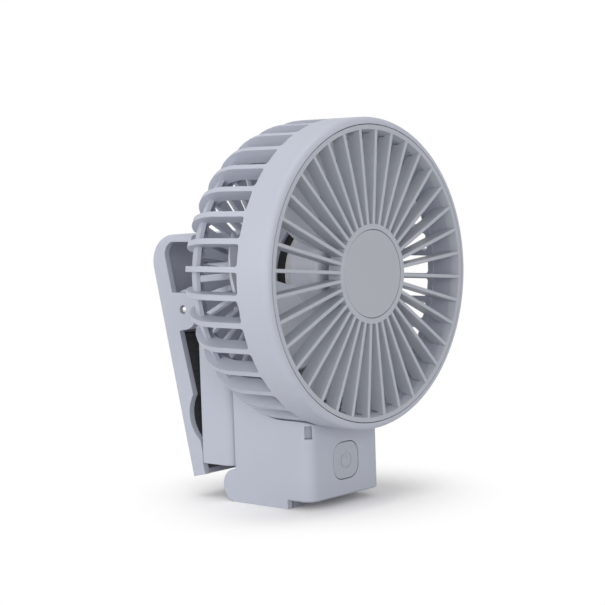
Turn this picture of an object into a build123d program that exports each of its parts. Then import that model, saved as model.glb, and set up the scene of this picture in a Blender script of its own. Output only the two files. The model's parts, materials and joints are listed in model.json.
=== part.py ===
from build123d import *
import math
import os

# Clip fan: a round fan head with a ribbed cage, a control box under it that stands on a
# flat foot, and a spring clip that folds out behind the box on two ears.
# Millimetres. X is to the right seen from the front, Y goes back, Z goes up. The origin
# is the middle of the face that the foot rests on.

# ---------------------------------------------------------------- driving dimensions
HEAD_LIFT = 25.7         # lowest point of the head over the resting face
FACE_Y = -35.5           # front plane of the head
BAND_R = 50.0            # outer radius of the head
BAND_DEPTH = 12.4        # plain band behind the front plane
BAND_EDGE = 2.2          # rounding of the band's front edge
CAGE_DEPTH = 25.0        # where the cage starts to curve inwards
DOME_R = 23.0            # radius of that curve, outside
RIB_COUNT = 36           # ribs of the cage, of the front grille and of the rear
RIB_THICK = 1.8          # cage rib, across
RIB_HEIGHT = 5.0         # cage rib, from outside to inside
RIB_NOSE = 1.4           # rounding of a rib's rear end
RIB_REACH = 14.0         # the ribs end behind this far inside the band's outside
SLOT_CORNER = 1.0        # rounded front corners of the side slots
DOME_RECESS = 2.1        # the dome ring lies this much under the ribs' outside
DOME_THICK = 1.3         # wall of the dome ring
DOME_FRONT_ANGLE = 66.0  # where the dome ring begins, degrees from the axis
REAR_INSET = 16.0        # the rear plate's edge lies this far inside the band's outside
REAR_WALL = 2.1          # wall of the rear plate
REAR_SLOT_IN = 21.0      # inner end of the rear slots
REAR_SLOT_PAST = 1.2     # the rear slots run this far past the plate's edge
REAR_SLOT_W = 2.2        # width of a rear slot

BAND_FACE = 2.25         # width of the band's front face, outside the grille
BAND_WALL = 4.7          # wall of the band behind the grille
GRILLE_GAP = 0.25        # dark seam between the grille and the band
GRILLE_RING_W = 1.5      # width of the grille's outer ring at its front
GRILLE_DEPTH = 2.8       # depth of the outer ring, bevelled inside
GRILLE_HUB_DEPTH = 5.0   # depth of the centre ring
GRILLE_RIB = 1.2         # front rib, across
GRILLE_RIB_DEPTH = 5.0   # front rib, front to back
GRILLE_RIB_CLEAR = 0.3   # gap between a rib's end and the band's wall
GRILLE_RIB_ROUND = 0.35  # rounding of a front rib's edges
GRILLE_HUB_R = 16.0      # centre ring, outside
BADGE_R = 14.1           # plain centre disc
BADGE_THICK = 1.8
BADGE_GAP = 0.15
BADGE_FLOOR = 1.2        # wall of the grille behind the badge
BADGE_EDGE = 0.3
GRILLE_HUB_WALL = 2.9    # wall of the centre ring

HUB_R = 16.8             # impeller hub
HUB_WALL = 0.9
HUB_FRONT = 9.4          # depth of the hub's face
HUB_REAR = 20.6
HUB_EDGE = 3.0
HUB_FACE_WALL = 1.6
HUB_CAP = 0.8            # wall in front of the shaft
BLADE_COUNT = 4
BLADE_START = -33.5      # turn of the first blade's root, clockwise from 12 o'clock
BLADE_CLEAR = 3.3        # from the blade tips to the inside of the band
BLADE_THICK = 1.1
BLADE_MID_R = 30.0       # radius of a blade's middle section
BLADE_SPAN = (47.0, 66.0, 62.0)   # degrees covered at the root, the middle and the tip
BLADE_SWEEP = (0.0, 7.0, 24.5)    # degrees that each section is turned on from the root
BLADE_FRONT = (10.0, 12.4, 11.0)  # depth of the leading edge
BLADE_REAR = (20.2, 23.0, 25.0)   # depth of the trailing edge
BLADE_BOW = 0.17         # bow of a section to the rear, as a share of its depth
BLADE_TIP_ROUND = 3.2
BLADE_TAPER = (2.0, 8.0) # between these heights over the hub the rear edge leaves its level
BLADE_ROWS = 8           # points that a blade's surface is laid through, outwards
BLADE_COLUMNS = 10       # and from its front edge to its rear edge

YOKE_INSET = 1.0         # steel cup inside the hub: from the hub's outside to the cup's
YOKE_WALL = 1.1
YOKE_RIM_INSET = 0.3     # its rim shows behind the hub, this much smaller
YOKE_REAR = 23.0
MAGNET_THICK = 1.5
MAGNET_FRONT = 13.0
MAGNET_REAR = 22.2
AIR_GAP = 0.5            # between the magnet and the stator
STATOR_POLES = 6
STATOR_FRONT = 14.0
STATOR_REAR = 20.5
CORE_WALL = 2.2
POLE_W = 2.2
SHOE = 1.0               # thickness of a pole shoe
SHOE_GAP = 1.8           # gap between two shoes
COIL_W = 4.0
COIL_END = 0.9           # the winding stands this far over the core
COIL_GAP = 0.3
MOTOR_BASE_FRONT = 23.4
MOTOR_BASE_REAR = 26.4
MOTOR_PLUG = 2.0         # plug of the motor base in the cup
MOTOR_FIT = 0.1
TUBE_R = 4.0             # tube that carries the stator and holds the bearings
BEARING_R = 3.0
BEARING_LONG = 2.6
BEARING_FRONTS = (13.5, 22.8)
SHAFT_R = 1.0
SHAFT_REAR = 26.0
SHAFT_CLEAR = 0.3
RUN_FIT = 0.03           # running clearance of a shaft in its bearing, radial
CUP_R = 17.6             # motor cup of the housing, at its front
CUP_ROOT_R = 20.0
CUP_WALL = 2.0
POST_R = 2.4
POST_CIRCLE = 10.6
MOTOR_SCREWS = 3
MOTOR_SCREW_LONG = 7.5

BOX_W = 36.0             # control box
BOX_FRONT = -21.7
BOX_BACK = 11.8
BOX_BOTTOM = 2.8
BOX_WALL = 2.0
BOX_BACK_WALL = 3.0
BOX_FLOOR = 2.0
BOX_CORNER = 4.0
BOX_REAR_CORNER = 1.0
BOX_BOTTOM_EDGE = 0.8
BOX_ROOF_WALL = 1.5      # wall between the box's inside and the head
BOX_TOP_RISE = 11.9      # the box's back wall reaches this far over the head's lowest point
BOX_TOP_SLOPE = 0.48     # the top falls forwards by this much per millimetre
BOX_TOP_END = -3.0       # where the slope runs into the cage
FOOT_FRONT = -11.7       # front end of the foot
FOOT_RAIL = 2.2          # thickness of the foot's side rails

EAR_R = 5.5              # fold hinge at the box's lower back
EAR_AXIS_Y = 11.5
KNUCKLE_W = 15.8
KNUCKLE_R = 5.2
KNUCKLE_GAP = 0.3        # clearance of the knuckle in the box
KNUCKLE_WALL = 1.8       # wall between the knuckle's room and the inside of the box
WASHER_THICK = 0.45
WASHER_R = 4.6
WASHER_PLAY = 0.05
HINGE_PIN_R = 1.5
PIN_FIT = 0.03           # radial clearance of a pin that turns
HINGE_PIN_BLIND = 2.0    # wall left outside the pin in the left ear
HINGE_PIN_PLAY = 0.3     # room at the pin's blind end
HINGE_CAP_R = 2.6
HINGE_CAP_THICK = 1.2

BUTTON_W = 12.2
BUTTON_H = 12.0
BUTTON_CORNER = 4.2
BUTTON_Z = 14.4
BUTTON_GAP = 0.25
BUTTON_TRAVEL = 0.5
BUTTON_FLANGE = 0.7
BUTTON_LIP = 0.7         # the flange is this much larger than the cap
BUTTON_REST_GAP = 0.05   # between the flange and the wall
BUTTON_EDGE = 0.25
BOARD_FRONT = 6.6        # board face behind the box's front face
BOARD_THICK = 1.2
BOARD_W = 31.0
BOARD_Z = 5.4
BOARD_HEADROOM = 0.6
BOARD_SCREW_LONG = 4.5
SWITCH_W = 6.0
SWITCH_BODY = 1.7
SWITCH_STEM = 0.7
SWITCH_STEM_R = 1.6
SWITCH_CORNER = 0.4
BUTTON_END_GAP = 0.2     # what is left to the switch at full press
BOSS_R = 2.0
BOSS_X = 12.6
BOSS_LOW = 8.2
BOSS_DOWN = 2.0          # the upper boss lies this far under the board's top
USB_W = 8.9
USB_T = 3.2
USB_LONG = 7.3
USB_INSET = 0.5
USB_Z = 13.7
USB_FIT = 0.15
USB_WALL = 0.3
USB_BACK = 1.0           # closed end of the socket's shell
TONGUE_W = 6.6
TONGUE_T = 0.7
TONGUE_IN = 0.8          # the tongue ends this far inside the mouth
BATTERY_W = 29.0
BATTERY_T = 13.4
BATTERY_HEADROOM = 1.4
BATTERY_ROUND = 2.5
BATTERY_GAP = 4.4        # from the board's back to the battery
NOTCH_W = 2.4            # lanyard notch in the front left corner
NOTCH_H = 4.2
NOTCH_DEEP = 2.6
NOTCH_POST = 0.6         # place and radius of the post behind it, as a share of the corner
NOTCH_RISE = 1.9         # its top over the head's lowest point

COVER_W = 29.0           # cover in the box's back
COVER_LOW = 13.6
COVER_THICK = 1.4
COVER_GAP = 0.15
COVER_LEDGE = 2.2
COVER_CORNER = 1.2
COVER_PLUG_CORNER = 0.5
COVER_PLUG_SHORT = 0.2   # the cover's plug ends this far before the box's inside
COVER_SCREW_IN = 1.65    # its screws stand this far inside its edges
COVER_SCREW_LONG = 2.0
BASE_COVER_REAR = 5.2    # rear end of the base cover
BASE_GAP = 0.15
BASE_SCREW_X = 11.3
BASE_SCREW_LONG = 3.4
BASE_SCREW_SINK = 0.4
NIB_W = 2.2
NIB_X = 14.1
NIB_LONG = 0.6

SCREW_R = 0.9
SCREW_HEAD_R = 1.6
SCREW_HEAD = 0.8
SCREW_FIT = 0.03         # radial clearance of a screw in its hole
HEAD_SINK = 0.2          # a screw's head lies this far under the face
HEAD_GAP = 0.1           # gap round the head

JAW_FRONT = 12.1         # front jaw, the block behind the box
JAW_BACK = 26.2
JAW_BOTTOM = 11.8
JAW_TOP = 79.0
JAW_WALL = 2.0
JAW_CORNER = 4.0
JAW_TOP_EDGE = 3.0
JAW_PLATE = 2.2
JAW_SCREW_X = 11.5
JAW_SCREW_Z = 74.0
JAW_SCREW_LONG = 6.0
PLATE_GAP = 0.15
NECK_BACK = 20.0
PIN_Y = 33.4             # pin of the clip
PIN_Z = 63.6
PIN_R = 1.5
PIN_SINK = 0.35
PIN_DOME = 0.5
JAW_EAR_R = 6.8
JAW_EAR_THICK = 2.2
JAW_EAR_LOW = 57.6
JAW_EAR_HIGH = 70.6
EAR_SIDE_GAP = 0.2       # between a jaw ear and the lever's wall

LEVER_WALL = 2.2         # side walls of the lever
LEVER_WEB = 2.4          # its back
LEVER_TOP = 89.0
LEVER_FOOT_Y = 32.0      # rear line of the lever: lower and upper point
LEVER_FOOT_Z = 6.5
LEVER_HEAD_Y = 47.4
LEVER_HEAD_Z = 75.7
LEVER_TOP_R = 9.5
LEVER_TOP_FRONT = 28.2
LEVER_RIM = 2.4
LEVER_EDGE = 1.8
LEVER_EAR_R = 6.9
TIP_GAP = 0.3            # the closed tip stays this far off the jaw
TIP_LEAN = 3.0           # the tip's front edge leans forward under the jaw
TIP_TOP = 15.0           # upper end of the tip's upright edge
WALL_TOP_Y = 35.4        # where the wall's front edge meets the pin's ear
WALL_TOP_Z = 56.3
EAR_SHELF_Z = 69.3       # upper edge of the lever's ear
EAR_SHELF_REACH = 4.0    # the ear reaches this far in front of the pin up there
HANDLE_FOOT_Y = 38.3     # front edge of the handle: its foot, its bend and its head
HANDLE_BEND_Y = 41.2
HANDLE_BEND_Z = 81.7
HANDLE_ARC_Y = 40.2
HANDLE_ARC_DOWN = 1.6    # the arc's middle lies this far under the handle's head
HANDLE_HEAD_Y = 36.6
GROOVE_R = 11.0          # rod groove in the lever
GROOVE_Y = 21.0
GROOVE_Z = 28.4
GROOVE_FROM = 19.4       # heights between which the groove runs
GROOVE_TO = 34.7
GRIP_COUNT = 5
GRIP_PITCH = 3.4
GRIP_R = 0.55
GRIP_SINK = 0.15
GRIP_W = 22.0
GRIP_START = 9.0         # below the lever's top corner, along its back
PAD_SINK = 0.6           # the pad's face lies under the edges of the walls
PAD_GAP = 0.15
PAD_LOW = 9.5
PAD_HIGH = 55.0
JAW_PAD_W = 28.0
JAW_PAD_LOW = 14.5
JAW_PAD_HIGH = 52.0
JAW_PAD_THICK = 0.9
JAW_PAD_PROUD = 0.2

SPRING_WIRE_R = 0.7
SPRING_R = 3.4           # mean radius of the coil round the pin
SPRING_TURNS = 7
SPRING_PITCH = 1.55
SPRING_ARM = 15.0        # height of the rear arm's end over the pin
SPRING_FRONT_ARM = 8.25
SPRING_GAP = 0.1

BITE = 0.1               # how far two joined forms reach into each other
ROOT = 0.5               # how far a boss or a rib is rooted in its wall
OVER = 1.0               # how far a cutter runs past the face it cuts
FAR = 6.0                # the same for a cutter's open end
NEAR = 0.01              # two places closer than this are the same

# ---------------------------------------------------------------- derived places
AXIS_Z = HEAD_LIFT + BAND_R
FAN_AXIS = Axis((0, FACE_Y, AXIS_Z), (0, 1, 0))
PROFILE = Plane(origin=(0, FACE_Y, AXIS_Z), x_dir=(0, 1, 0), z_dir=(1, 0, 0))
RIB_PITCH = 360 / RIB_COUNT
CAGE_IN_R = BAND_R - RIB_HEIGHT
RIB_END_R = BAND_R - RIB_REACH
DOME_CENTRE_R = BAND_R - DOME_R
REAR_R = BAND_R - REAR_INSET
REAR_SLOT_OUT = REAR_R + REAR_SLOT_PAST
BAND_IN_R = BAND_R - BAND_WALL
SEAT_R = BAND_R - BAND_FACE
GRILLE_R = SEAT_R - GRILLE_GAP
GRILLE_RING_IN = GRILLE_R - GRILLE_RING_W
BLADE_TIP_R = BAND_IN_R - BLADE_CLEAR
BLADE_MARKS = (HUB_R, BLADE_MID_R, BLADE_TIP_R)
YOKE_R = HUB_R - YOKE_INSET
YOKE_RIM_R = HUB_R - YOKE_RIM_INSET
STATOR_R = YOKE_R - YOKE_WALL - MAGNET_THICK - AIR_GAP
MOTOR_BASE_R = YOKE_RIM_R    # black ring behind the yoke
HALF_BOX = BOX_W / 2
BOX_ROOF = HEAD_LIFT - BOX_ROOF_WALL
BOX_TOP_BACK = HEAD_LIFT + BOX_TOP_RISE
NOTCH_TOP = HEAD_LIFT + NOTCH_RISE
BOARD_TOP = BOX_ROOF - BOARD_HEADROOM
BOSS_HIGH = BOARD_TOP - BOSS_DOWN
COVER_HIGH = BOARD_TOP + COVER_LEDGE
EAR_AXIS_Z = EAR_R
EAR_IN_X = KNUCKLE_W / 2 + WASHER_THICK + 2 * WASHER_PLAY
BOARD_Y = BOX_FRONT + BOARD_FRONT
LEVER_LEAN = math.degrees(math.atan2(LEVER_HEAD_Y - LEVER_FOOT_Y, LEVER_HEAD_Z - LEVER_FOOT_Z))
LEVER_IN_X = HALF_BOX - LEVER_WALL
PIVOT = (PIN_Y, PIN_Z)


def on_dome(radius, angle):
    """Depth and radius of a point on a dome arc, the angle counted from the fan's axis."""
    a = math.radians(angle)
    return CAGE_DEPTH + radius * math.cos(a), DOME_CENTRE_R + radius * math.sin(a)


def dome_angle(radius, at_r):
    """Angle at which a dome arc reaches the given radius from the fan's axis."""
    return math.degrees(math.asin((at_r - DOME_CENTRE_R) / radius))


def spin(sketch):
    """Revolve a sketch of depth and radius about the fan's axis."""
    return revolve(PROFILE * sketch, axis=FAN_AXIS)


def ring(depth_a, depth_b, r_out, r_in=0.0):
    """Plain ring or disc about the fan's axis between two depths."""
    return spin(make_face(Polyline((depth_a, r_in), (depth_b, r_in), (depth_b, r_out),
                                   (depth_a, r_out), close=True)))


def around(shape, count, start=0.0):
    """Copies of a shape about the fan's axis."""
    return [shape.rotate(FAN_AXIS, start + i * 360 / count) for i in range(count)]


def block(x0, x1, y0, y1, z0, z1):
    """Box between two corners."""
    return Pos((x0 + x1) / 2, (y0 + y1) / 2, (z0 + z1) / 2) * Box(x1 - x0, y1 - y0, z1 - z0)


def rod_x(x0, x1, y, z, radius):
    """Cylinder along X."""
    return Pos((x0 + x1) / 2, y, z) * Rot(0, 90, 0) * Cylinder(radius, x1 - x0)


def rod_y(x, y0, y1, z, radius):
    """Cylinder along Y."""
    return Pos(x, (y0 + y1) / 2, z) * Rot(90, 0, 0) * Cylinder(radius, y1 - y0)


def rod_z(x, y, z0, z1, radius):
    """Cylinder along Z."""
    return Pos(x, y, (z0 + z1) / 2) * Cylinder(radius, z1 - z0)


def side_plate(face, x0, x1):
    """Plate along X from a sketch of Y and Z."""
    return extrude(Plane.YZ.offset(x0) * face, x1 - x0)


def in_fan(x, depth, radius):
    """World point over the fan's axis, at 12 o'clock."""
    return (x, FACE_Y + depth, AXIS_Z + radius)


# ---------------------------------------------------------------- housing
def cage_shell():
    """Domed shell that the side slots are cut from: straight, then curving inwards."""
    end_out = dome_angle(DOME_R, RIB_END_R)
    end_in = dome_angle(DOME_R - RIB_HEIGHT, RIB_END_R)
    mid_out, mid_in = (90 + end_out) / 2, (90 + end_in) / 2
    start = BAND_DEPTH - BAND_EDGE
    outline = [
        Line((start, CAGE_IN_R), (start, BAND_R)),
        Line((start, BAND_R), (CAGE_DEPTH, BAND_R)),
        ThreePointArc((CAGE_DEPTH, BAND_R), on_dome(DOME_R, mid_out), on_dome(DOME_R, end_out)),
        Line(on_dome(DOME_R, end_out), on_dome(DOME_R - RIB_HEIGHT, end_in)),
        ThreePointArc(on_dome(DOME_R - RIB_HEIGHT, end_in), on_dome(DOME_R - RIB_HEIGHT, mid_in),
                      (CAGE_DEPTH, CAGE_IN_R)),
        Line((CAGE_DEPTH, CAGE_IN_R), (start, CAGE_IN_R)),
    ]
    face = make_face(outline)
    rear_end = on_dome(DOME_R, end_out)
    nose = [v for v in face.vertices() if math.dist((v.X, v.Y), rear_end) < NEAR]
    return spin(fillet(nose, RIB_NOSE))


def slot_cutter():
    """Wedge between two neighbouring ribs, from the band to behind the cage."""
    half = math.radians(RIB_PITCH / 2)

    def half_width(r):
        return r * math.tan(half) - RIB_THICK / 2 / math.cos(half)

    low, high = RIB_END_R - FAR, BAND_R + FAR
    plane = Plane(origin=in_fan(0, BAND_DEPTH, 0), x_dir=(-1, 0, 0), z_dir=(0, 1, 0))
    face = make_face(Polyline((-half_width(low), low), (half_width(low), low),
                              (half_width(high), high), (-half_width(high), high), close=True))
    wedge = extrude(plane * face, 2 * CAGE_DEPTH)
    front = wedge.faces().sort_by(Axis.Y)[0]
    sides = [e for e in front.edges() if e.length > (high - low) * 0.9]
    return fillet(sides, SLOT_CORNER)


def dome_ring():
    """Closed ring under the ribs' rear ends, and the rear plate that it runs into."""
    outer = DOME_R - DOME_RECESS
    inner = outer - DOME_THICK
    rim_out, rim_in = dome_angle(outer, REAR_R), dome_angle(inner, REAR_R)
    face_out = on_dome(outer, rim_out)
    face_in = on_dome(inner, rim_in)
    mid_out, mid_in = (rim_out + DOME_FRONT_ANGLE) / 2, (rim_in + DOME_FRONT_ANGLE) / 2
    outline = [
        ThreePointArc(on_dome(outer, DOME_FRONT_ANGLE), on_dome(outer, mid_out), face_out),
        Line(face_out, (face_out[0], 0)),
        Line((face_out[0], 0), (face_out[0] - REAR_WALL, 0)),
        Line((face_out[0] - REAR_WALL, 0), (face_out[0] - REAR_WALL, REAR_R)),
        Line((face_out[0] - REAR_WALL, REAR_R), face_in),
        ThreePointArc(face_in, on_dome(inner, mid_in), on_dome(inner, DOME_FRONT_ANGLE)),
        Line(on_dome(inner, DOME_FRONT_ANGLE), on_dome(outer, DOME_FRONT_ANGLE)),
    ]
    return spin(make_face(outline))


REAR_FACE = on_dome(DOME_R - DOME_RECESS, dome_angle(DOME_R - DOME_RECESS, REAR_R))[0]
REAR_INSIDE = REAR_FACE - REAR_WALL


def rear_slot():
    """One slot of the rear plate, with parallel sides and round ends."""
    middle = (REAR_SLOT_IN + REAR_SLOT_OUT) / 2
    plane = Plane(origin=in_fan(0, REAR_INSIDE - OVER, middle), x_dir=(0, 0, 1), z_dir=(0, 1, 0))
    face = plane * SlotOverall(REAR_SLOT_OUT - REAR_SLOT_IN, REAR_SLOT_W)
    return extrude(face, REAR_WALL + 2 * OVER)


def motor_cup():
    """Tapered cup in front of the rear plate, which the motor is fixed to."""
    return spin(make_face(Polyline(
        (MOTOR_BASE_REAR, CUP_R - CUP_WALL), (MOTOR_BASE_REAR, CUP_R),
        (REAR_INSIDE, CUP_ROOT_R), (REAR_INSIDE, CUP_ROOT_R - CUP_WALL), close=True)))


def head_body():
    """Band with the seat for the grille, ribs, dome ring, rear plate and motor cup."""
    shell = cage_shell() - [c for c in around(slot_cutter(), RIB_COUNT)]
    outline = make_face(Polyline(
        (0, SEAT_R), (0, BAND_R), (BAND_DEPTH, BAND_R), (BAND_DEPTH, BAND_IN_R),
        (GRILLE_DEPTH, BAND_IN_R), (GRILLE_DEPTH, SEAT_R), close=True))
    rim = [v for v in outline.vertices() if math.dist((v.X, v.Y), (0, BAND_R)) < NEAR]
    band = spin(fillet(rim, BAND_EDGE - GRILLE_GAP))
    rear = dome_ring() - [s for s in around(rear_slot(), RIB_COUNT)]
    return band + shell + rear + motor_cup()


def cage_space():
    """Space that the cage takes up, which the box is cut with."""
    end = dome_angle(DOME_R, RIB_END_R - FAR)
    mid = (90 + end) / 2
    outline = [
        Line((-OVER, 0), (-OVER, BAND_R)),
        Line((-OVER, BAND_R), (CAGE_DEPTH, BAND_R)),
        ThreePointArc((CAGE_DEPTH, BAND_R), on_dome(DOME_R, mid), on_dome(DOME_R, end)),
        Line(on_dome(DOME_R, end), (on_dome(DOME_R, end)[0], 0)),
        Line((on_dome(DOME_R, end)[0], 0), (-OVER, 0)),
    ]
    return spin(make_face(outline))


def rounded_prism(x0, x1, y0, y1, z0, z1, r_front, r_back):
    """Upright box with one radius for its front corners and one for its back corners."""
    solid = block(x0, x1, y0, y1, z0, z1)
    uprights = solid.edges().filter_by(Axis.Z).sort_by(Axis.Y)
    solid = fillet(uprights[:2], r_front)
    uprights = solid.edges().filter_by(Axis.Z).sort_by(Axis.Y)
    return fillet(uprights[-2:], r_back)


def box_outside():
    """Outer form of the box: rounded uprights, sloping top at the back, cut by the cage."""
    top_front = BOX_TOP_BACK - BOX_TOP_SLOPE * (BOX_BACK - BOX_TOP_END)
    outer = rounded_prism(-HALF_BOX, HALF_BOX, BOX_FRONT, BOX_BACK, BOX_BOTTOM, BOX_TOP_BACK,
                          BOX_CORNER, BOX_REAR_CORNER)
    bottom = outer.faces().sort_by(Axis.Z)[0]
    front_run = [e for e in bottom.edges() if e.center().Y < BOX_BACK - BOX_REAR_CORNER * 1.5]
    outer = fillet(front_run, BOX_BOTTOM_EDGE)
    above = make_face(Polyline((BOX_TOP_END, top_front), (BOX_BACK, BOX_TOP_BACK),
                               (BOX_BACK + OVER, BOX_TOP_BACK),
                               (BOX_BACK + OVER, BOX_TOP_BACK + OVER),
                               (BOX_TOP_END, BOX_TOP_BACK + OVER), close=True))
    return outer - side_plate(above, -HALF_BOX - OVER, HALF_BOX + OVER) - cage_space()


def box_body():
    """Box with its cavity, rails, ears, bosses and the post behind the lanyard notch."""
    cavity = block(-HALF_BOX + BOX_WALL, HALF_BOX - BOX_WALL, BOX_FRONT + BOX_WALL,
                   BOX_BACK - BOX_BACK_WALL, BOX_BOTTOM + BOX_FLOOR, BOX_ROOF)
    cavity -= rod_x(-HALF_BOX, HALF_BOX, EAR_AXIS_Y, EAR_AXIS_Z,
                    KNUCKLE_R + KNUCKLE_GAP + KNUCKLE_WALL)
    post = BOX_CORNER * NOTCH_POST
    cavity -= rod_z(-HALF_BOX + post, BOX_FRONT + post, NOTCH_TOP - NOTCH_H - BOX_WALL,
                    BOX_ROOF + OVER, post)
    body = box_outside() - cavity
    for side in (-1, 1):
        x0, x1 = sorted((side * HALF_BOX, side * (HALF_BOX - FOOT_RAIL)))
        body += block(x0, x1, FOOT_FRONT, EAR_AXIS_Y, 0, BOX_BOTTOM + BOX_BOTTOM_EDGE)
        x0, x1 = sorted((side * HALF_BOX, side * EAR_IN_X))
        body += ear(x0, x1)
        for z in (BOSS_LOW, BOSS_HIGH):
            body += rod_y(side * BOSS_X, BOX_FRONT + BOX_WALL - ROOT, BOARD_Y, z, BOSS_R)
    return body


def ear(x0, x1):
    """Ear of the fold hinge: a round end on the box's lower back."""
    face = (Pos(EAR_AXIS_Y, EAR_AXIS_Z) * Circle(EAR_R)
            + Pos(EAR_AXIS_Y - EAR_R / 2, EAR_AXIS_Z) * Rectangle(EAR_R, 2 * EAR_R))
    return side_plate(face, x0, x1)


def hinge_cuts():
    """Room for the knuckle and bores for the hinge pin in the box's lower back."""
    cuts = rod_x(-EAR_IN_X, EAR_IN_X, EAR_AXIS_Y, EAR_AXIS_Z, KNUCKLE_R + KNUCKLE_GAP)
    cuts += block(-EAR_IN_X, EAR_IN_X, EAR_AXIS_Y - KNUCKLE_R - KNUCKLE_GAP,
                  BOX_BACK + EAR_R, -OVER, EAR_AXIS_Z)
    cuts += rod_x(-HALF_BOX + HINGE_PIN_BLIND, HALF_BOX + OVER, EAR_AXIS_Y, EAR_AXIS_Z,
                  HINGE_PIN_R + SCREW_FIT)
    cuts += rod_x(HALF_BOX - HINGE_CAP_THICK, HALF_BOX + OVER, EAR_AXIS_Y, EAR_AXIS_Z,
                  HINGE_CAP_R + SCREW_FIT)
    return cuts


def upright_face(w, h, corner):
    """Rounded rectangle in the front plane, X across and Z up."""
    return RectangleRounded(w, h, corner)


def front_prism(w, h, corner, x, z, y0, y1):
    """Rounded rectangle run back from y0 to y1."""
    plane = Plane(origin=(x, y0, z), x_dir=(1, 0, 0), z_dir=(0, -1, 0))
    return extrude(plane * upright_face(w, h, corner), -(y1 - y0))


def usb_prism(w, t, x0, x1):
    """Rounded slot shape of the charging socket, run along X."""
    y = BOARD_Y + BOARD_THICK + USB_T / 2
    plane = Plane(origin=(x0, y, USB_Z), x_dir=(0, 1, 0), z_dir=(1, 0, 0))
    return extrude(plane * RectangleRounded(t, w, t / 2 - 0.05), x1 - x0)


def cover_prism(grow, y0, y1):
    """Cover in the box's back, grown by a clearance, between two planes."""
    corner = max(COVER_CORNER + grow, COVER_PLUG_CORNER)
    return front_prism(COVER_W + 2 * grow, COVER_HIGH - COVER_LOW + 2 * grow, corner,
                       0, (COVER_LOW + COVER_HIGH) / 2, y0, y1)


COVER_SCREW_SPOTS = [(side * (COVER_W / 2 - COVER_SCREW_IN), z) for side in (-1, 1)
                     for z in (COVER_LOW + COVER_SCREW_IN, COVER_HIGH - COVER_SCREW_IN)]
BASE_SCREW_SPOTS = [(side * BASE_SCREW_X, (FOOT_FRONT + BASE_COVER_REAR) / 2)
                    for side in (-1, 1)]
BOARD_SCREW_SPOTS = [(-BOSS_X, BOSS_LOW), (BOSS_X, BOSS_HIGH)]


def box_cuts():
    """Openings of the box: button, socket, lanyard notch, back cover and screw holes."""
    cuts = [front_prism(BUTTON_W + 2 * BUTTON_GAP, BUTTON_H + 2 * BUTTON_GAP,
                        BUTTON_CORNER + BUTTON_GAP, 0, BUTTON_Z, BOX_FRONT - OVER,
                        BOX_FRONT + BOX_WALL + BITE)]
    cuts.append(usb_prism(USB_W + 2 * USB_FIT, USB_T + 2 * USB_FIT, HALF_BOX - BOX_WALL - BITE,
                          HALF_BOX + OVER))
    corner_in = BOX_CORNER * (1 - math.sqrt(0.5))
    notch = Pos(-HALF_BOX + corner_in, BOX_FRONT + corner_in, NOTCH_TOP - NOTCH_H / 2)
    cuts.append(notch * Rot(0, 0, -45) * Box(NOTCH_W, 2 * NOTCH_DEEP, NOTCH_H))
    cuts.append(cover_prism(COVER_GAP, BOX_BACK - COVER_THICK, BOX_BACK + OVER))
    cuts.append(cover_prism(-COVER_LEDGE, BOX_BACK - BOX_BACK_WALL - BITE, BOX_BACK))
    for x, z in COVER_SCREW_SPOTS:
        cuts.append(rod_y(x, BOX_BACK - BOX_BACK_WALL - BITE, BOX_BACK, z, SCREW_R + SCREW_FIT))
    for x, y in BASE_SCREW_SPOTS:
        cuts.append(rod_z(x, y, BOX_BOTTOM - OVER, BOX_BOTTOM + BOX_FLOOR + BITE,
                          SCREW_R + SCREW_FIT))
    for x, z in BOARD_SCREW_SPOTS:
        cuts.append(rod_y(x, BOX_FRONT + BOX_WALL + ROOT, BOARD_Y + OVER, z,
                          SCREW_R + SCREW_FIT))
    return cuts


def motor_screw_spots():
    """Where the motor screws go through the rear plate."""
    spots = []
    for i in range(MOTOR_SCREWS):
        a = math.radians(90 + i * 360 / MOTOR_SCREWS)
        spots.append((POST_CIRCLE * math.cos(a), AXIS_Z + POST_CIRCLE * math.sin(a)))
    return spots


def motor_screw_holes():
    """Clearance holes and counterbores for the motor screws."""
    rear = FACE_Y + REAR_FACE
    holes = []
    for x, z in motor_screw_spots():
        holes.append(rod_y(x, rear - REAR_WALL - OVER, rear + OVER, z, SCREW_R + SCREW_FIT))
        holes.append(rod_y(x, rear - SCREW_HEAD - HEAD_SINK, rear + OVER, z,
                           SCREW_HEAD_R + HEAD_GAP))
    return holes


def main_housing():
    """Head moulding, with the holes for the motor screws."""
    return head_body() - motor_screw_holes()


def box_housing():
    """Control box with its foot rails and the ears of the fold hinge."""
    return box_body() - hinge_cuts() - box_cuts()


# ---------------------------------------------------------------- grille and badge
def grille_rib():
    """One front rib at 12 o'clock, turned to its place later."""
    low, high = GRILLE_HUB_R - ROOT, GRILLE_RING_IN + ROOT
    clear_r = BAND_IN_R - GRILLE_RIB_CLEAR
    outline = make_face(Polyline(
        (0, low), (0, high), (GRILLE_DEPTH - BITE, BAND_IN_R + BITE),
        (GRILLE_DEPTH - BITE, clear_r), (GRILLE_RIB_DEPTH, clear_r - GRILLE_RIB_CLEAR),
        (GRILLE_RIB_DEPTH, low), close=True))
    rib = extrude(PROFILE * outline, GRILLE_RIB / 2, both=True)
    front = [e for e in rib.faces().sort_by(Axis.Y)[0].edges() if e.length > high - low - NEAR]
    return fillet(front, GRILLE_RIB_ROUND)


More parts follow.
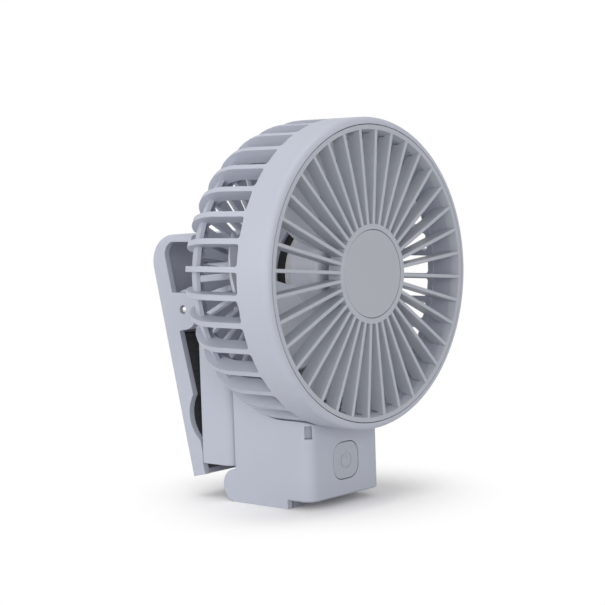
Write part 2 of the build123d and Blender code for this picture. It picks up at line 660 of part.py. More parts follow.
def front_grille():
    """Outer ring, centre ring with the badge's seat, and straight ribs between them."""
    rim = make_face(Polyline(
        (0, GRILLE_RING_IN), (0, GRILLE_R), (GRILLE_DEPTH, GRILLE_R), (GRILLE_DEPTH, BAND_IN_R),
        close=True))
    seat_r = BADGE_R + BADGE_GAP
    hollow_r = GRILLE_HUB_R - GRILLE_HUB_WALL
    floor = BADGE_THICK + BADGE_FLOOR
    centre = make_face(Polyline(
        (0, seat_r), (0, GRILLE_HUB_R), (GRILLE_HUB_DEPTH, GRILLE_HUB_R),
        (GRILLE_HUB_DEPTH, hollow_r), (floor, hollow_r), (floor, 0), (BADGE_THICK, 0),
        (BADGE_THICK, seat_r), close=True))
    ribs = around(grille_rib(), RIB_COUNT, RIB_PITCH / 2)
    return spin(rim) + spin(centre) + ribs


def grille_badge():
    """Plain centre disc with a softened edge."""
    face = make_face(Polyline((0, 0), (0, BADGE_R), (BADGE_THICK, BADGE_R), (BADGE_THICK, 0),
                              close=True))
    edge = [v for v in face.vertices() if math.dist((v.X, v.Y), (0, BADGE_R)) < NEAR]
    return spin(fillet(edge, BADGE_EDGE))


# ---------------------------------------------------------------- impeller and motor
def along_blade(values, r):
    """Smooth value at a radius, from the values at a blade's root, middle and tip."""
    a, b, c = BLADE_MARKS
    at_root = values[0] * (r - b) * (r - c) / ((a - b) * (a - c))
    at_middle = values[1] * (r - a) * (r - c) / ((b - a) * (b - c))
    at_tip = values[2] * (r - a) * (r - b) / ((c - a) * (c - b))
    return at_root + at_middle + at_tip


def blade_point(r, share):
    """Point of a blade's middle surface: share 0 is its front edge and 1 its rear edge."""
    front, rear = along_blade(BLADE_FRONT, r), along_blade(BLADE_REAR, r)
    span, sweep = along_blade(BLADE_SPAN, r), along_blade(BLADE_SWEEP, r)
    turn = math.radians(sweep + (share - 0.5) * span)
    depth = front + (rear - front) * (share + 4 * BLADE_BOW * share * (1 - share))
    return Vector(r * math.sin(turn), FACE_Y + depth, AXIS_Z + r * math.cos(turn))


def blade():
    """One blade, from inside the hub to past the tip circle."""
    root = HUB_R - HUB_EDGE - OVER
    row_gap = (BLADE_TIP_R + OVER - root) / BLADE_ROWS
    grid = []
    for i in range(BLADE_ROWS + 1):
        r = root + i * row_gap
        grid.append([blade_point(r, j / BLADE_COLUMNS) for j in range(BLADE_COLUMNS + 1)])
    surface = Face.make_surface_from_array_of_points(grid, tol=NEAR, min_deg=3, max_deg=5)
    return thicken(surface, BLADE_THICK / 2, both=True)


def blade_envelope():
    """Space that the blades are trimmed to: inside the hub's wall, with rounded tips."""
    rear = BLADE_REAR[2] + OVER
    wall_r = HUB_R - HUB_WALL / 2
    face = make_face(Polyline(
        (HUB_FRONT, HUB_R - HUB_EDGE), (HUB_FRONT, BLADE_TIP_R), (rear, BLADE_TIP_R),
        (rear, HUB_R + BLADE_TAPER[1]), (HUB_REAR, HUB_R + BLADE_TAPER[0]), (HUB_REAR, wall_r),
        (HUB_FRONT + HUB_FACE_WALL, wall_r), (HUB_FRONT + HUB_FACE_WALL, HUB_R - HUB_EDGE),
        close=True))
    tips = [v for v in face.vertices() if abs(v.Y - BLADE_TIP_R) < NEAR]
    return spin(fillet(tips, BLADE_TIP_ROUND))


def impeller():
    """Hub cup over the steel yoke, with the blades on its side."""
    floor = HUB_FRONT + HUB_FACE_WALL
    face = make_face(Polyline(
        (HUB_FRONT, SHAFT_R), (HUB_FRONT, HUB_R), (HUB_REAR, HUB_R),
        (HUB_REAR, HUB_R - HUB_WALL), (floor, HUB_R - HUB_WALL), (floor, SHAFT_R), close=True))
    edge = [v for v in face.vertices() if math.dist((v.X, v.Y), (HUB_FRONT, HUB_R)) < NEAR]
    hub = spin(fillet(edge, HUB_EDGE))
    hub += ring(HUB_FRONT, HUB_FRONT + HUB_CAP, 2 * SHAFT_R)
    trimmed = blade() & blade_envelope()
    return hub + around(trimmed, BLADE_COUNT, BLADE_START)


def rotor_yoke():
    """Steel cup with a rim that shows behind the hub."""
    front = HUB_FRONT + HUB_FACE_WALL
    rim_front = HUB_REAR + BITE
    return spin(make_face(Polyline(
        (front, SHAFT_R), (front, YOKE_R), (rim_front, YOKE_R), (rim_front, YOKE_RIM_R),
        (YOKE_REAR, YOKE_RIM_R), (YOKE_REAR, YOKE_R - YOKE_WALL),
        (front + YOKE_WALL, YOKE_R - YOKE_WALL), (front + YOKE_WALL, SHAFT_R), close=True)))


def rotor_magnet():
    """Ring magnet inside the yoke."""
    r_out = YOKE_R - YOKE_WALL
    return ring(MAGNET_FRONT, MAGNET_REAR, r_out, r_out - MAGNET_THICK)


def motor_shaft():
    """Shaft pressed into the yoke, running in the two bearings."""
    return ring(HUB_FRONT + HUB_CAP, SHAFT_REAR, SHAFT_R)


def motor_bearings():
    """Two sleeve bearings in the motor base's tube."""
    solids = []
    for depth in BEARING_FRONTS:
        solids.append(ring(depth, depth + BEARING_LONG, BEARING_R, SHAFT_R + RUN_FIT))
    return Compound(children=solids)


def stator_core():
    """Laminated core: a ring with poles that end in shoes."""
    y0, y1 = FACE_Y + STATOR_FRONT, FACE_Y + STATOR_REAR
    core = ring(STATOR_FRONT, STATOR_REAR, TUBE_R + CORE_WALL, TUBE_R)
    pole = block(-POLE_W / 2, POLE_W / 2, y0, y1, AXIS_Z + TUBE_R + CORE_WALL / 2,
                 AXIS_Z + STATOR_R - SHOE / 2)
    core += around(pole, STATOR_POLES)
    gap = block(-SHOE_GAP / 2, SHOE_GAP / 2, y0 - OVER, y1 + OVER,
                AXIS_Z + STATOR_R - SHOE - OVER, AXIS_Z + STATOR_R + OVER)
    shoes = ring(STATOR_FRONT, STATOR_REAR, STATOR_R, STATOR_R - SHOE)
    shoes -= around(gap, STATOR_POLES, 180 / STATOR_POLES)
    return core + shoes


def stator_coils():
    """Copper winding round each pole."""
    low, high = AXIS_Z + TUBE_R + CORE_WALL + COIL_GAP, AXIS_Z + STATOR_R - SHOE - COIL_GAP
    y0, y1 = FACE_Y + STATOR_FRONT, FACE_Y + STATOR_REAR
    coil = block(-COIL_W / 2, COIL_W / 2, y0 - COIL_END, y1 + COIL_END, low, high)
    coil -= block(-POLE_W / 2, POLE_W / 2, y0, y1, low - OVER, high + OVER)
    return Compound(children=around(coil, STATOR_POLES))


def motor_base():
    """Black base: ring behind the yoke, bearing tube and three posts in the cup."""
    plug_r, plug_rear = CUP_R - CUP_WALL - MOTOR_FIT, MOTOR_BASE_REAR + MOTOR_PLUG
    disc = spin(make_face(Polyline(
        (MOTOR_BASE_FRONT, 0), (MOTOR_BASE_FRONT, MOTOR_BASE_R), (MOTOR_BASE_REAR, MOTOR_BASE_R),
        (MOTOR_BASE_REAR, plug_r), (plug_rear, plug_r), (plug_rear, 0), close=True)))
    first, second = BEARING_FRONTS
    base = disc + ring(first, MOTOR_BASE_FRONT + ROOT, TUBE_R)
    base -= ring(first - OVER, second + BEARING_LONG, BEARING_R)
    base -= ring(second, SHAFT_REAR + SHAFT_CLEAR, SHAFT_R + SHAFT_CLEAR)
    post_end = FACE_Y + REAR_INSIDE
    hole_end = motor_screw_seat() - MOTOR_SCREW_LONG - ROOT
    for x, z in motor_screw_spots():
        base += rod_y(x, FACE_Y + plug_rear - ROOT, post_end, z, POST_R)
        base -= rod_y(x, hole_end, post_end + OVER, z, SCREW_R + SCREW_FIT)
    return base


def motor_screw_seat():
    """Plane under the heads of the motor screws."""
    return FACE_Y + REAR_FACE - SCREW_HEAD - HEAD_SINK


def screw(length):
    """Pan-head screw with its head's underside at z = 0 and its tip down."""
    return Pos(0, 0, -length / 2) * Cylinder(SCREW_R, length) \
        + Pos(0, 0, SCREW_HEAD / 2) * Cylinder(SCREW_HEAD_R, SCREW_HEAD)


def motor_screws():
    """Screws from behind through the rear plate into the motor base's posts."""
    lay = Rot(-90, 0, 0) * screw(MOTOR_SCREW_LONG)
    return Compound(children=[Pos(x, motor_screw_seat(), z) * lay
                              for x, z in motor_screw_spots()])


# ---------------------------------------------------------------- box contents
def base_cover():
    """Plate between the foot's rails, with two small nibs at its front."""
    x = HALF_BOX - FOOT_RAIL - BASE_GAP
    plate = block(-x, x, FOOT_FRONT + NIB_LONG, BASE_COVER_REAR, 0, BOX_BOTTOM)
    for side in (-1, 1):
        plate += block(side * NIB_X - NIB_W / 2, side * NIB_X + NIB_W / 2, FOOT_FRONT,
                       FOOT_FRONT + NIB_LONG + BITE, 0, BOX_BOTTOM)
    for x, y in BASE_SCREW_SPOTS:
        plate -= rod_z(x, y, -OVER, BOX_BOTTOM + OVER, SCREW_R + SCREW_FIT)
        plate -= rod_z(x, y, -OVER, SCREW_HEAD + BASE_SCREW_SINK, SCREW_HEAD_R + HEAD_GAP)
    return plate


def base_screws():
    """Screws up through the base cover into the box's floor."""
    seat = SCREW_HEAD + BASE_SCREW_SINK
    return Compound(children=[Pos(x, y, seat) * Rot(180, 0, 0) * screw(BASE_SCREW_LONG)
                              for x, y in BASE_SCREW_SPOTS])


def back_cover():
    """Cover in the box's back, flush with it, with a plug inside its ledge."""
    cover = cover_prism(0, BOX_BACK - COVER_THICK, BOX_BACK)
    cover += cover_prism(-COVER_LEDGE - COVER_GAP, BOX_BACK - BOX_BACK_WALL + COVER_PLUG_SHORT,
                         BOX_BACK - COVER_THICK + BITE)
    for x, z in COVER_SCREW_SPOTS:
        cover -= rod_y(x, BOX_BACK - COVER_THICK - BITE, BOX_BACK + OVER, z,
                       SCREW_R + SCREW_FIT)
        cover -= rod_y(x, BOX_BACK - SCREW_HEAD, BOX_BACK + OVER, z, SCREW_HEAD_R + HEAD_GAP)
    return cover


def cover_screws():
    """Four screws that hold the back cover."""
    lay = Rot(-90, 0, 0) * screw(COVER_SCREW_LONG)
    return Compound(children=[Pos(x, BOX_BACK - SCREW_HEAD, z) * lay
                              for x, z in COVER_SCREW_SPOTS])


def power_button():
    """Rounded square cap with a flange behind the wall and a short stem."""
    inside = BOX_FRONT + BOX_WALL
    flange = inside + BUTTON_REST_GAP
    cap = front_prism(BUTTON_W, BUTTON_H, BUTTON_CORNER, 0, BUTTON_Z, BOX_FRONT, flange + BITE)
    rim = cap.faces().sort_by(Axis.Y)[0].edges()
    cap = fillet(rim, BUTTON_EDGE)
    cap += front_prism(BUTTON_W + 2 * BUTTON_LIP, BUTTON_H + 2 * BUTTON_LIP,
                       BUTTON_CORNER + BUTTON_LIP, 0, BUTTON_Z, flange, flange + BUTTON_FLANGE)
    stem_end = BOARD_Y - SWITCH_BODY - SWITCH_STEM - BUTTON_END_GAP - BUTTON_TRAVEL
    return cap + rod_y(0, flange, stem_end, BUTTON_Z, SWITCH_STEM_R)


def tact_switch():
    """Switch under the button, on the board."""
    face = BOARD_Y - SWITCH_BODY
    body = front_prism(SWITCH_W, SWITCH_W, SWITCH_CORNER, 0, BUTTON_Z, face, BOARD_Y)
    return body + rod_y(0, face - SWITCH_STEM, face + BITE, BUTTON_Z, SWITCH_STEM_R)


def main_board():
    """Control board on the box's bosses."""
    board = block(-BOARD_W / 2, BOARD_W / 2, BOARD_Y, BOARD_Y + BOARD_THICK, BOARD_Z,
                  BOARD_TOP)
    for x, z in BOARD_SCREW_SPOTS:
        board -= rod_y(x, BOARD_Y - OVER, BOARD_Y + BOARD_THICK + OVER, z,
                       SCREW_R + SCREW_FIT)
    return board


def board_screws():
    """Screws that hold the board to its bosses."""
    seat = BOARD_Y + BOARD_THICK
    return Compound(children=[Pos(x, seat, z) * Rot(-90, 0, 0) * screw(BOARD_SCREW_LONG)
                              for x, z in BOARD_SCREW_SPOTS])


def usb_port():
    """Charging socket: a thin metal shell with a tongue, open to the right."""
    x1 = HALF_BOX - USB_INSET
    x0 = x1 - USB_LONG
    shell = usb_prism(USB_W, USB_T, x0, x1)
    shell -= usb_prism(USB_W - 2 * USB_WALL, USB_T - 2 * USB_WALL, x0 + USB_BACK, x1 + OVER)
    y = BOARD_Y + BOARD_THICK + USB_T / 2
    return shell + block(x0 + ROOT, x1 - TONGUE_IN, y - TONGUE_T / 2, y + TONGUE_T / 2,
                         USB_Z - TONGUE_W / 2, USB_Z + TONGUE_W / 2)


def battery():
    """Lithium cell on the box's floor."""
    y0 = BOARD_Y + BOARD_THICK + BATTERY_GAP
    z0 = BOX_BOTTOM + BOX_FLOOR
    cell = block(-BATTERY_W / 2, BATTERY_W / 2, y0, y0 + BATTERY_T, z0,
                 BOX_ROOF - BATTERY_HEADROOM)
    return fillet(cell.edges().filter_by(Axis.X), BATTERY_ROUND)


# ---------------------------------------------------------------- front jaw
def jaw_shell():
    """Hollow block behind the box, open to the rear, with its knuckle below."""
    solid = block(-HALF_BOX, HALF_BOX, JAW_FRONT, JAW_BACK, JAW_BOTTOM, JAW_TOP)
    uprights = solid.edges().filter_by(Axis.Z).sort_by(Axis.Y)[:2]
    solid = fillet(uprights, JAW_CORNER)
    top = solid.faces().sort_by(Axis.Z)[-1]
    run = [e for e in top.edges() if e.center().Y < JAW_BACK - NEAR]
    solid = fillet(run, JAW_TOP_EDGE)
    solid -= block(-HALF_BOX + JAW_WALL, HALF_BOX - JAW_WALL, JAW_FRONT + JAW_WALL,
                   JAW_BACK + OVER, JAW_BOTTOM + JAW_WALL, JAW_TOP - JAW_WALL)
    half = KNUCKLE_W / 2
    neck_face = (Pos(EAR_AXIS_Y, EAR_AXIS_Z) * Circle(KNUCKLE_R)
                 + make_face(Polyline((JAW_FRONT, EAR_AXIS_Z), (EAR_AXIS_Y + KNUCKLE_R, EAR_AXIS_Z),
                                      (NECK_BACK, JAW_BOTTOM + BITE),
                                      (JAW_FRONT, JAW_BOTTOM + BITE), close=True)))
    solid += side_plate(neck_face, -half, half)
    for x in (-JAW_SCREW_X, JAW_SCREW_X):
        solid += rod_y(x, JAW_FRONT + JAW_WALL - ROOT, JAW_BACK - JAW_PLATE, JAW_SCREW_Z, BOSS_R)
        solid -= rod_y(x, JAW_BACK - JAW_PLATE - JAW_SCREW_LONG, JAW_BACK, JAW_SCREW_Z,
                       SCREW_R + SCREW_FIT)
    return solid - rod_x(-half - OVER, half + OVER, EAR_AXIS_Y, EAR_AXIS_Z,
                         HINGE_PIN_R + PIN_FIT)


def jaw_plate():
    """Rear plate of the front jaw, with the two ears that carry the pin."""
    x = HALF_BOX - JAW_WALL - PLATE_GAP
    plate = block(-x, x, JAW_BACK - JAW_PLATE, JAW_BACK, JAW_BOTTOM + JAW_WALL + PLATE_GAP,
                  JAW_TOP - JAW_WALL - PLATE_GAP)
    ear_face = (Pos(PIN_Y, PIN_Z) * Circle(JAW_EAR_R)
                + make_face(Polyline(
                    (JAW_BACK - ROOT, JAW_EAR_LOW), (PIN_Y, PIN_Z - JAW_EAR_R),
                    (PIN_Y, PIN_Z + JAW_EAR_R), (JAW_BACK - ROOT, JAW_EAR_HIGH), close=True)))
    outer = LEVER_IN_X - EAR_SIDE_GAP
    for side in (-1, 1):
        x0, x1 = sorted((side * outer, side * (outer - JAW_EAR_THICK)))
        plate += side_plate(ear_face, x0, x1)
    pocket = JAW_PAD_THICK - JAW_PAD_PROUD
    plate -= block(-JAW_PAD_W / 2 - PLATE_GAP, JAW_PAD_W / 2 + PLATE_GAP, JAW_BACK - pocket,
                   JAW_BACK + OVER, JAW_PAD_LOW - PLATE_GAP, JAW_PAD_HIGH + PLATE_GAP)
    for x in (-JAW_SCREW_X, JAW_SCREW_X):
        plate -= rod_y(x, JAW_BACK - JAW_PLATE - OVER, JAW_BACK + OVER, JAW_SCREW_Z,
                       SCREW_R + SCREW_FIT)
        plate -= rod_y(x, JAW_BACK - SCREW_HEAD - HEAD_SINK, JAW_BACK + OVER, JAW_SCREW_Z,
                       SCREW_HEAD_R + HEAD_GAP)
    return plate - rod_x(-HALF_BOX, HALF_BOX, PIN_Y, PIN_Z, PIN_R + PIN_FIT)


def jaw_screws():
    """Two screws that hold the jaw plate at its top."""
    seat = JAW_BACK - SCREW_HEAD - HEAD_SINK
    lay = Rot(-90, 0, 0) * screw(JAW_SCREW_LONG)
    return Compound(children=[Pos(x, seat, JAW_SCREW_Z) * lay
                              for x in (-JAW_SCREW_X, JAW_SCREW_X)])


def jaw_pad():
    """Thin rubber in the jaw plate's pocket."""
    face = JAW_BACK + JAW_PAD_PROUD
    return block(-JAW_PAD_W / 2, JAW_PAD_W / 2, face - JAW_PAD_THICK, face, JAW_PAD_LOW,
                 JAW_PAD_HIGH)


def hinge_pin():
    """Pin of the fold hinge, from the right ear into the left one."""
    return rod_x(-HALF_BOX + HINGE_PIN_BLIND + HINGE_PIN_PLAY, HALF_BOX - HINGE_CAP_THICK,
                 EAR_AXIS_Y, EAR_AXIS_Z, HINGE_PIN_R)


def hinge_cap():
    """Round cap over the hinge pin in the right ear."""
    return rod_x(HALF_BOX - HINGE_CAP_THICK, HALF_BOX, EAR_AXIS_Y, EAR_AXIS_Z, HINGE_CAP_R)


def hinge_washers():
    """Friction washers between the knuckle and the ears."""
    start = KNUCKLE_W / 2 + WASHER_PLAY
    solids = []
    for side in (-1, 1):
        x0, x1 = sorted((side * start, side * (start + WASHER_THICK)))
        disc = rod_x(x0, x1, EAR_AXIS_Y, EAR_AXIS_Z, WASHER_R)
        solids.append(disc - rod_x(x0 - OVER, x1 + OVER, EAR_AXIS_Y, EAR_AXIS_Z,
                                   HINGE_PIN_R + PIN_FIT))
    return Compound(children=solids)


# ---------------------------------------------------------------- clip lever
def along_lever(distance, inward):
    """Point up the lever's rear line from its foot, moved forwards by inward."""
    lean = math.radians(LEVER_LEAN)
    return (LEVER_FOOT_Y + distance * math.sin(lean) - inward * math.cos(lean),
            LEVER_FOOT_Z + distance * math.cos(lean) + inward * math.sin(lean))


def lever_rear_y(z, inward=0.0):
    """Y of the lever's rear line at a height, moved forwards by inward."""
    lean = math.radians(LEVER_LEAN)
    return LEVER_FOOT_Y + (z - LEVER_FOOT_Z) * math.tan(lean) - inward / math.cos(lean)


def groove_point(z):
    """Point of the rod groove's arc at a height."""
    return (GROOVE_Y + math.sqrt(GROOVE_R ** 2 - (z - GROOVE_Z) ** 2), z)


TIP_Y = JAW_BACK + TIP_GAP
GROOVE_LOW = groove_point(GROOVE_FROM)
GROOVE_HIGH = groove_point(GROOVE_TO)
GROOVE_MID = groove_point(GROOVE_Z)
WALL_TOP = (WALL_TOP_Y, WALL_TOP_Z)
HANDLE_FOOT = (HANDLE_FOOT_Y, EAR_SHELF_Z)
HANDLE_BEND = (HANDLE_BEND_Y, HANDLE_BEND_Z)
HANDLE_ARC = (HANDLE_ARC_Y, LEVER_TOP - LEVER_RIM - HANDLE_ARC_DOWN)
HANDLE_HEAD = (HANDLE_HEAD_Y, LEVER_TOP - LEVER_RIM)


def lever_region(inward):
    """Area between the lever's rear line and far in front, with its round top corner."""
    top = LEVER_TOP - inward
    corner = LEVER_TOP_R - inward
    base = -OVER if inward > 0 else 0.0
    face = make_face(Polyline(
        along_lever(base, inward), (lever_rear_y(top, inward), top), (0, top),
        along_lever(base, LEVER_FOOT_Y), close=True))
    vertex = face.vertices().sort_by(Axis.X)[-1]
    return fillet(vertex, corner)


def lever_outline():
    """Side view of the lever: walls with rod groove, ear and handle opening."""
    far = -FAR
    over_top = LEVER_TOP + OVER
    front = make_face([
        Line((far, over_top), (far, 0)),
        Line((far, 0), (TIP_Y - TIP_LEAN, 0)),
        Line((TIP_Y - TIP_LEAN, 0), (TIP_Y, JAW_BOTTOM - TIP_GAP)),
        Line((TIP_Y, JAW_BOTTOM - TIP_GAP), (TIP_Y, TIP_TOP)),
        Line((TIP_Y, TIP_TOP), GROOVE_LOW),
        ThreePointArc(GROOVE_LOW, GROOVE_MID, GROOVE_HIGH),
        Line(GROOVE_HIGH, WALL_TOP),
        Line(WALL_TOP, HANDLE_FOOT),
        Line(HANDLE_FOOT, HANDLE_BEND),
        ThreePointArc(HANDLE_BEND, HANDLE_ARC, HANDLE_HEAD),
        Line(HANDLE_HEAD, (LEVER_TOP_FRONT, LEVER_TOP - LEVER_RIM)),
        Line((LEVER_TOP_FRONT, LEVER_TOP - LEVER_RIM), (LEVER_TOP_FRONT, over_top)),
        Line((LEVER_TOP_FRONT, over_top), (far, over_top)),
    ])
    ear_face = Pos(PIN_Y, PIN_Z) * Circle(LEVER_EAR_R) + make_face(Polyline(
        (PIN_Y, PIN_Z - LEVER_EAR_R), WALL_TOP, (lever_rear_y(WALL_TOP_Z, OVER), WALL_TOP_Z),
        (lever_rear_y(EAR_SHELF_Z, OVER), EAR_SHELF_Z), (PIN_Y - EAR_SHELF_REACH, EAR_SHELF_Z),
        PIVOT, close=True))
    shelf = Rectangle(4 * LEVER_EAR_R, LEVER_EAR_R, align=(Align.CENTER, Align.MIN))
    ear_face -= Pos(PIN_Y, EAR_SHELF_Z) * shelf
    return (lever_region(0) - front) + ear_face


def clip_lever():
    """Channel-shaped lever: two walls, a back, a top, and grip ribs on its back."""
    solid = side_plate(lever_outline(), -HALF_BOX, HALF_BOX)
    hollow = side_plate(lever_region(LEVER_WEB), -LEVER_IN_X, LEVER_IN_X)
    rear_line = lever_region(0).face().outer_wire()
    back_edges = [e for e in solid.edges() if abs(abs(e.center().X) - HALF_BOX) < NEAR
                  and on_rear_line(rear_line, e.center())]
    solid = fillet(back_edges, LEVER_EDGE) - hollow
    length = LEVER_HEAD_Z - LEVER_FOOT_Z
    for i in range(GRIP_COUNT):
        y, z = along_lever(length - GRIP_START + i * GRIP_PITCH, GRIP_SINK)
        solid += rod_x(-GRIP_W / 2, GRIP_W / 2, y, z, GRIP_R)
    return solid - rod_x(-HALF_BOX - OVER, HALF_BOX + OVER, PIN_Y, PIN_Z, PIN_R + PIN_FIT)


def on_rear_line(wire, point):
    """Whether a point lies on the lever's back, its round top corner or its top."""
    near = wire.distance_to(Vertex(point.Y, point.Z, 0)) < 2 * NEAR
    return near and point.Z > LEVER_FOOT_Z + LEVER_EDGE


def lever_pad():
    """Rubber between the lever's walls, its face following the rod groove."""
    x = LEVER_IN_X - PAD_GAP
    back_low = (lever_rear_y(PAD_LOW, LEVER_WEB), PAD_LOW)
    back_high = (lever_rear_y(PAD_HIGH, LEVER_WEB), PAD_HIGH)
    face = make_face([
        Line(back_low, back_high),
        Line(back_high, (WALL_TOP_Y + PAD_SINK, PAD_HIGH)),
        Line((WALL_TOP_Y + PAD_SINK, PAD_HIGH), (GROOVE_HIGH[0] + PAD_SINK, GROOVE_HIGH[1])),
        ThreePointArc((GROOVE_HIGH[0] + PAD_SINK, GROOVE_HIGH[1]),
                      (GROOVE_MID[0] + PAD_SINK, GROOVE_MID[1]),
                      (GROOVE_LOW[0] + PAD_SINK, GROOVE_LOW[1])),
        Line((GROOVE_LOW[0] + PAD_SINK, GROOVE_LOW[1]), (TIP_Y + PAD_SINK, PAD_LOW)),
        Line((TIP_Y + PAD_SINK, PAD_LOW), back_low),
    ])
    return side_plate(face, -x, x)


def pivot_pin():
    """Pin of the clip, its domed ends just under the lever's sides."""
    end = HALF_BOX - PIN_SINK
    pin = rod_x(-end, end, PIN_Y, PIN_Z, PIN_R)
    return fillet(pin.edges().filter_by(GeomType.CIRCLE), PIN_DOME)


def torsion_spring():
    """Coil round the pin as a tube of its outer size, with an arm to each jaw."""
    half = SPRING_TURNS * SPRING_PITCH / 2
    coil = rod_x(-half, half, PIN_Y, PIN_Z, SPRING_R + SPRING_WIRE_R)
    coil -= rod_x(-half - OVER, half + OVER, PIN_Y, PIN_Z, SPRING_R - SPRING_WIRE_R)
    x = half - SPRING_PITCH / 2
    front_end = (JAW_BACK + SPRING_WIRE_R + SPRING_GAP, PIN_Z + SPRING_FRONT_ARM)
    back_z = PIN_Z + SPRING_ARM
    back_end = (lever_rear_y(back_z, LEVER_WEB + SPRING_WIRE_R + SPRING_GAP), back_z)
    coil += spring_arm(-x, (PIN_Y - SPRING_R, PIN_Z), front_end)
    return coil + spring_arm(x, (PIN_Y + SPRING_R, PIN_Z), back_end)


def spring_arm(x, start, end):
    """Straight stretch of spring wire between two points of Y and Z."""
    run_y, run_z = end[0] - start[0], end[1] - start[1]
    tilt = -math.degrees(math.atan2(run_y, run_z))
    middle = Pos(x, (start[0] + end[0]) / 2, (start[1] + end[1]) / 2)
    return middle * Rot(tilt, 0, 0) * Cylinder(SPRING_WIRE_R - BITE, math.hypot(run_y, run_z))


# ---------------------------------------------------------------- output
NODES = {
    "main_housing": main_housing,
    "box_housing": box_housing,
    "front_grille": front_grille,
    "grille_badge": grille_badge,
    "impeller": impeller,
    "rotor_yoke": rotor_yoke,
    "rotor_magnet": rotor_magnet,
    "motor_shaft": motor_shaft,
    "motor_bearings": motor_bearings,
    "stator_core": stator_core,
    "stator_coils": stator_coils,
    "motor_base": motor_base,
    "motor_screws": motor_screws,
    "base_cover": base_cover,
    "base_screws": base_screws,
    "back_cover": back_cover,
    "cover_screws": cover_screws,
    "power_button": power_button,
    "tact_switch": tact_switch,
    "main_board": main_board,
    "board_screws": board_screws,
    "usb_port": usb_port,
    "battery": battery,
    "front_jaw": jaw_shell,
    "jaw_plate": jaw_plate,
    "jaw_screws": jaw_screws,
    "jaw_pad": jaw_pad,
    "hinge_pin": hinge_pin,
    "hinge_cap": hinge_cap,
    "hinge_washers": hinge_washers,
    "clip_lever": clip_lever,
    "lever_pad": lever_pad,
    "pivot_pin": pivot_pin,
    "torsion_spring": torsion_spring,
}


def main():
    """Build every node and write one file for each."""
    os.makedirs("parts", exist_ok=True)
    for name, make in NODES.items():
        shape = make()
        export_step(shape, f"parts/{name}.step")
        print(f"{name}: {len(shape.solids())} solids, {shape.volume:.1f} mm3", flush=True)


if __name__ == "__main__":
    main()
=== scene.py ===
"""Looks of the clip fan: finishes, fine pieces, studio and camera, in the fan's own frame.

Sizes are in millimetres and angles in degrees, unless a name or a comment says otherwise.
"""

import json
import logging
import math
from dataclasses import dataclass
from enum import Enum
from functools import partial
from typing import Callable, Iterable, Sequence

import bmesh
import bpy
from mathutils import Matrix, Vector

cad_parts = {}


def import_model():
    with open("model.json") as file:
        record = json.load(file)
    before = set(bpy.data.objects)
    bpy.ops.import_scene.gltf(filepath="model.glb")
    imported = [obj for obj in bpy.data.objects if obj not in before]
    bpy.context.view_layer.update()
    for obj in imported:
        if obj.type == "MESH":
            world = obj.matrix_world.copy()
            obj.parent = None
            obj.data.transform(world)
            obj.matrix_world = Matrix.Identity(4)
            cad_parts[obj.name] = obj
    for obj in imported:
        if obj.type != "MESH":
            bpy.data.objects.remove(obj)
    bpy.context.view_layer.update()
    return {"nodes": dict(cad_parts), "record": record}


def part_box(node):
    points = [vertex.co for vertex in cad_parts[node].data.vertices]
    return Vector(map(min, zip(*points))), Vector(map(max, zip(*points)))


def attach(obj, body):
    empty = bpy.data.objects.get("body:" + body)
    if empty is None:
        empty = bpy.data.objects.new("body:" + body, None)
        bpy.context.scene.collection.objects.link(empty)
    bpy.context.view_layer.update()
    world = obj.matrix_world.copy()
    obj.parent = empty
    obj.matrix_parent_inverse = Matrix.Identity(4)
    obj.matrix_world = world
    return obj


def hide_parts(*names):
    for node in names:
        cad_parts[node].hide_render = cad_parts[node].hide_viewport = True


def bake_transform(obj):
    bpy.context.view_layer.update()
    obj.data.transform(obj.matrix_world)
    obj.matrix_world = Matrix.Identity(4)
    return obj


LOG = logging.getLogger("clip_fan")
MM = 0.001         # metres in a millimetre
WELD_MM = 0.001    # points closer than this are one
Point = tuple[float, float, float]
Outline = Sequence[tuple[float, float]]

# Places that several pieces share, in millimetres.
AXIS_Z = 75.7                # height of the fan's axis
PIN_Y, PIN_Z = 33.4, 63.6    # middle of the clip's pivot pin

# The sRGB curve: a straight line up to the knee and a power above it.
SRGB_KNEE = 0.04045
SRGB_SLOPE = 12.92
SRGB_OFFSET = 0.055
SRGB_POWER = 2.4

# The faces of a block, by the numbers of their corners.
BLOCK_FACES = ((0, 1, 3, 2), (4, 6, 7, 5), (0, 4, 5, 1), (2, 3, 7, 6), (0, 2, 6, 4), (1, 5, 7, 3))

# Phase of the wave texture in radians per unit of length, at a scale of 1.
WAVE_PHASE = 20.0

# Nodes whose solids are all plain screws.
SCREW_NODES = ("motor_screws", "base_screws", "cover_screws", "board_screws", "jaw_screws")


# ---- small tools -------------------------------------------------------------------------------

def from_hex(code: str) -> tuple[float, float, float, float]:
    """Turn an sRGB hex colour into a linear one.

    Args:
        code: six hex digits.

    Returns:
        Linear red, green and blue with an alpha of 1.
    """
    levels = [int(code[i:i + 2], 16) / 255 for i in (0, 2, 4)]
    linear = [c / SRGB_SLOPE if c <= SRGB_KNEE
              else ((c + SRGB_OFFSET) / (1 + SRGB_OFFSET)) ** SRGB_POWER for c in levels]
    return linear[0], linear[1], linear[2], 1.0


def add_node(tree: bpy.types.NodeTree, kind: str, settings: dict | None = None,
             values: dict | None = None, links: dict | None = None) -> bpy.types.Node:
    """Add a node with its settings, socket values and incoming links.

    Args:
        tree: the node tree to add to.
        kind: the node's type name.
        settings: properties of the node.
        values: constant values by socket name or number.
        links: output sockets by the input's name or number.

    Returns:
        The new node.
    """
    node = tree.nodes.new(kind)
    for key, value in (settings or {}).items():
        setattr(node, key, value)
    for key, value in (values or {}).items():
        node.inputs[key].default_value = value
    for key, source in (links or {}).items():
        tree.links.new(source, node.inputs[key])
    return node


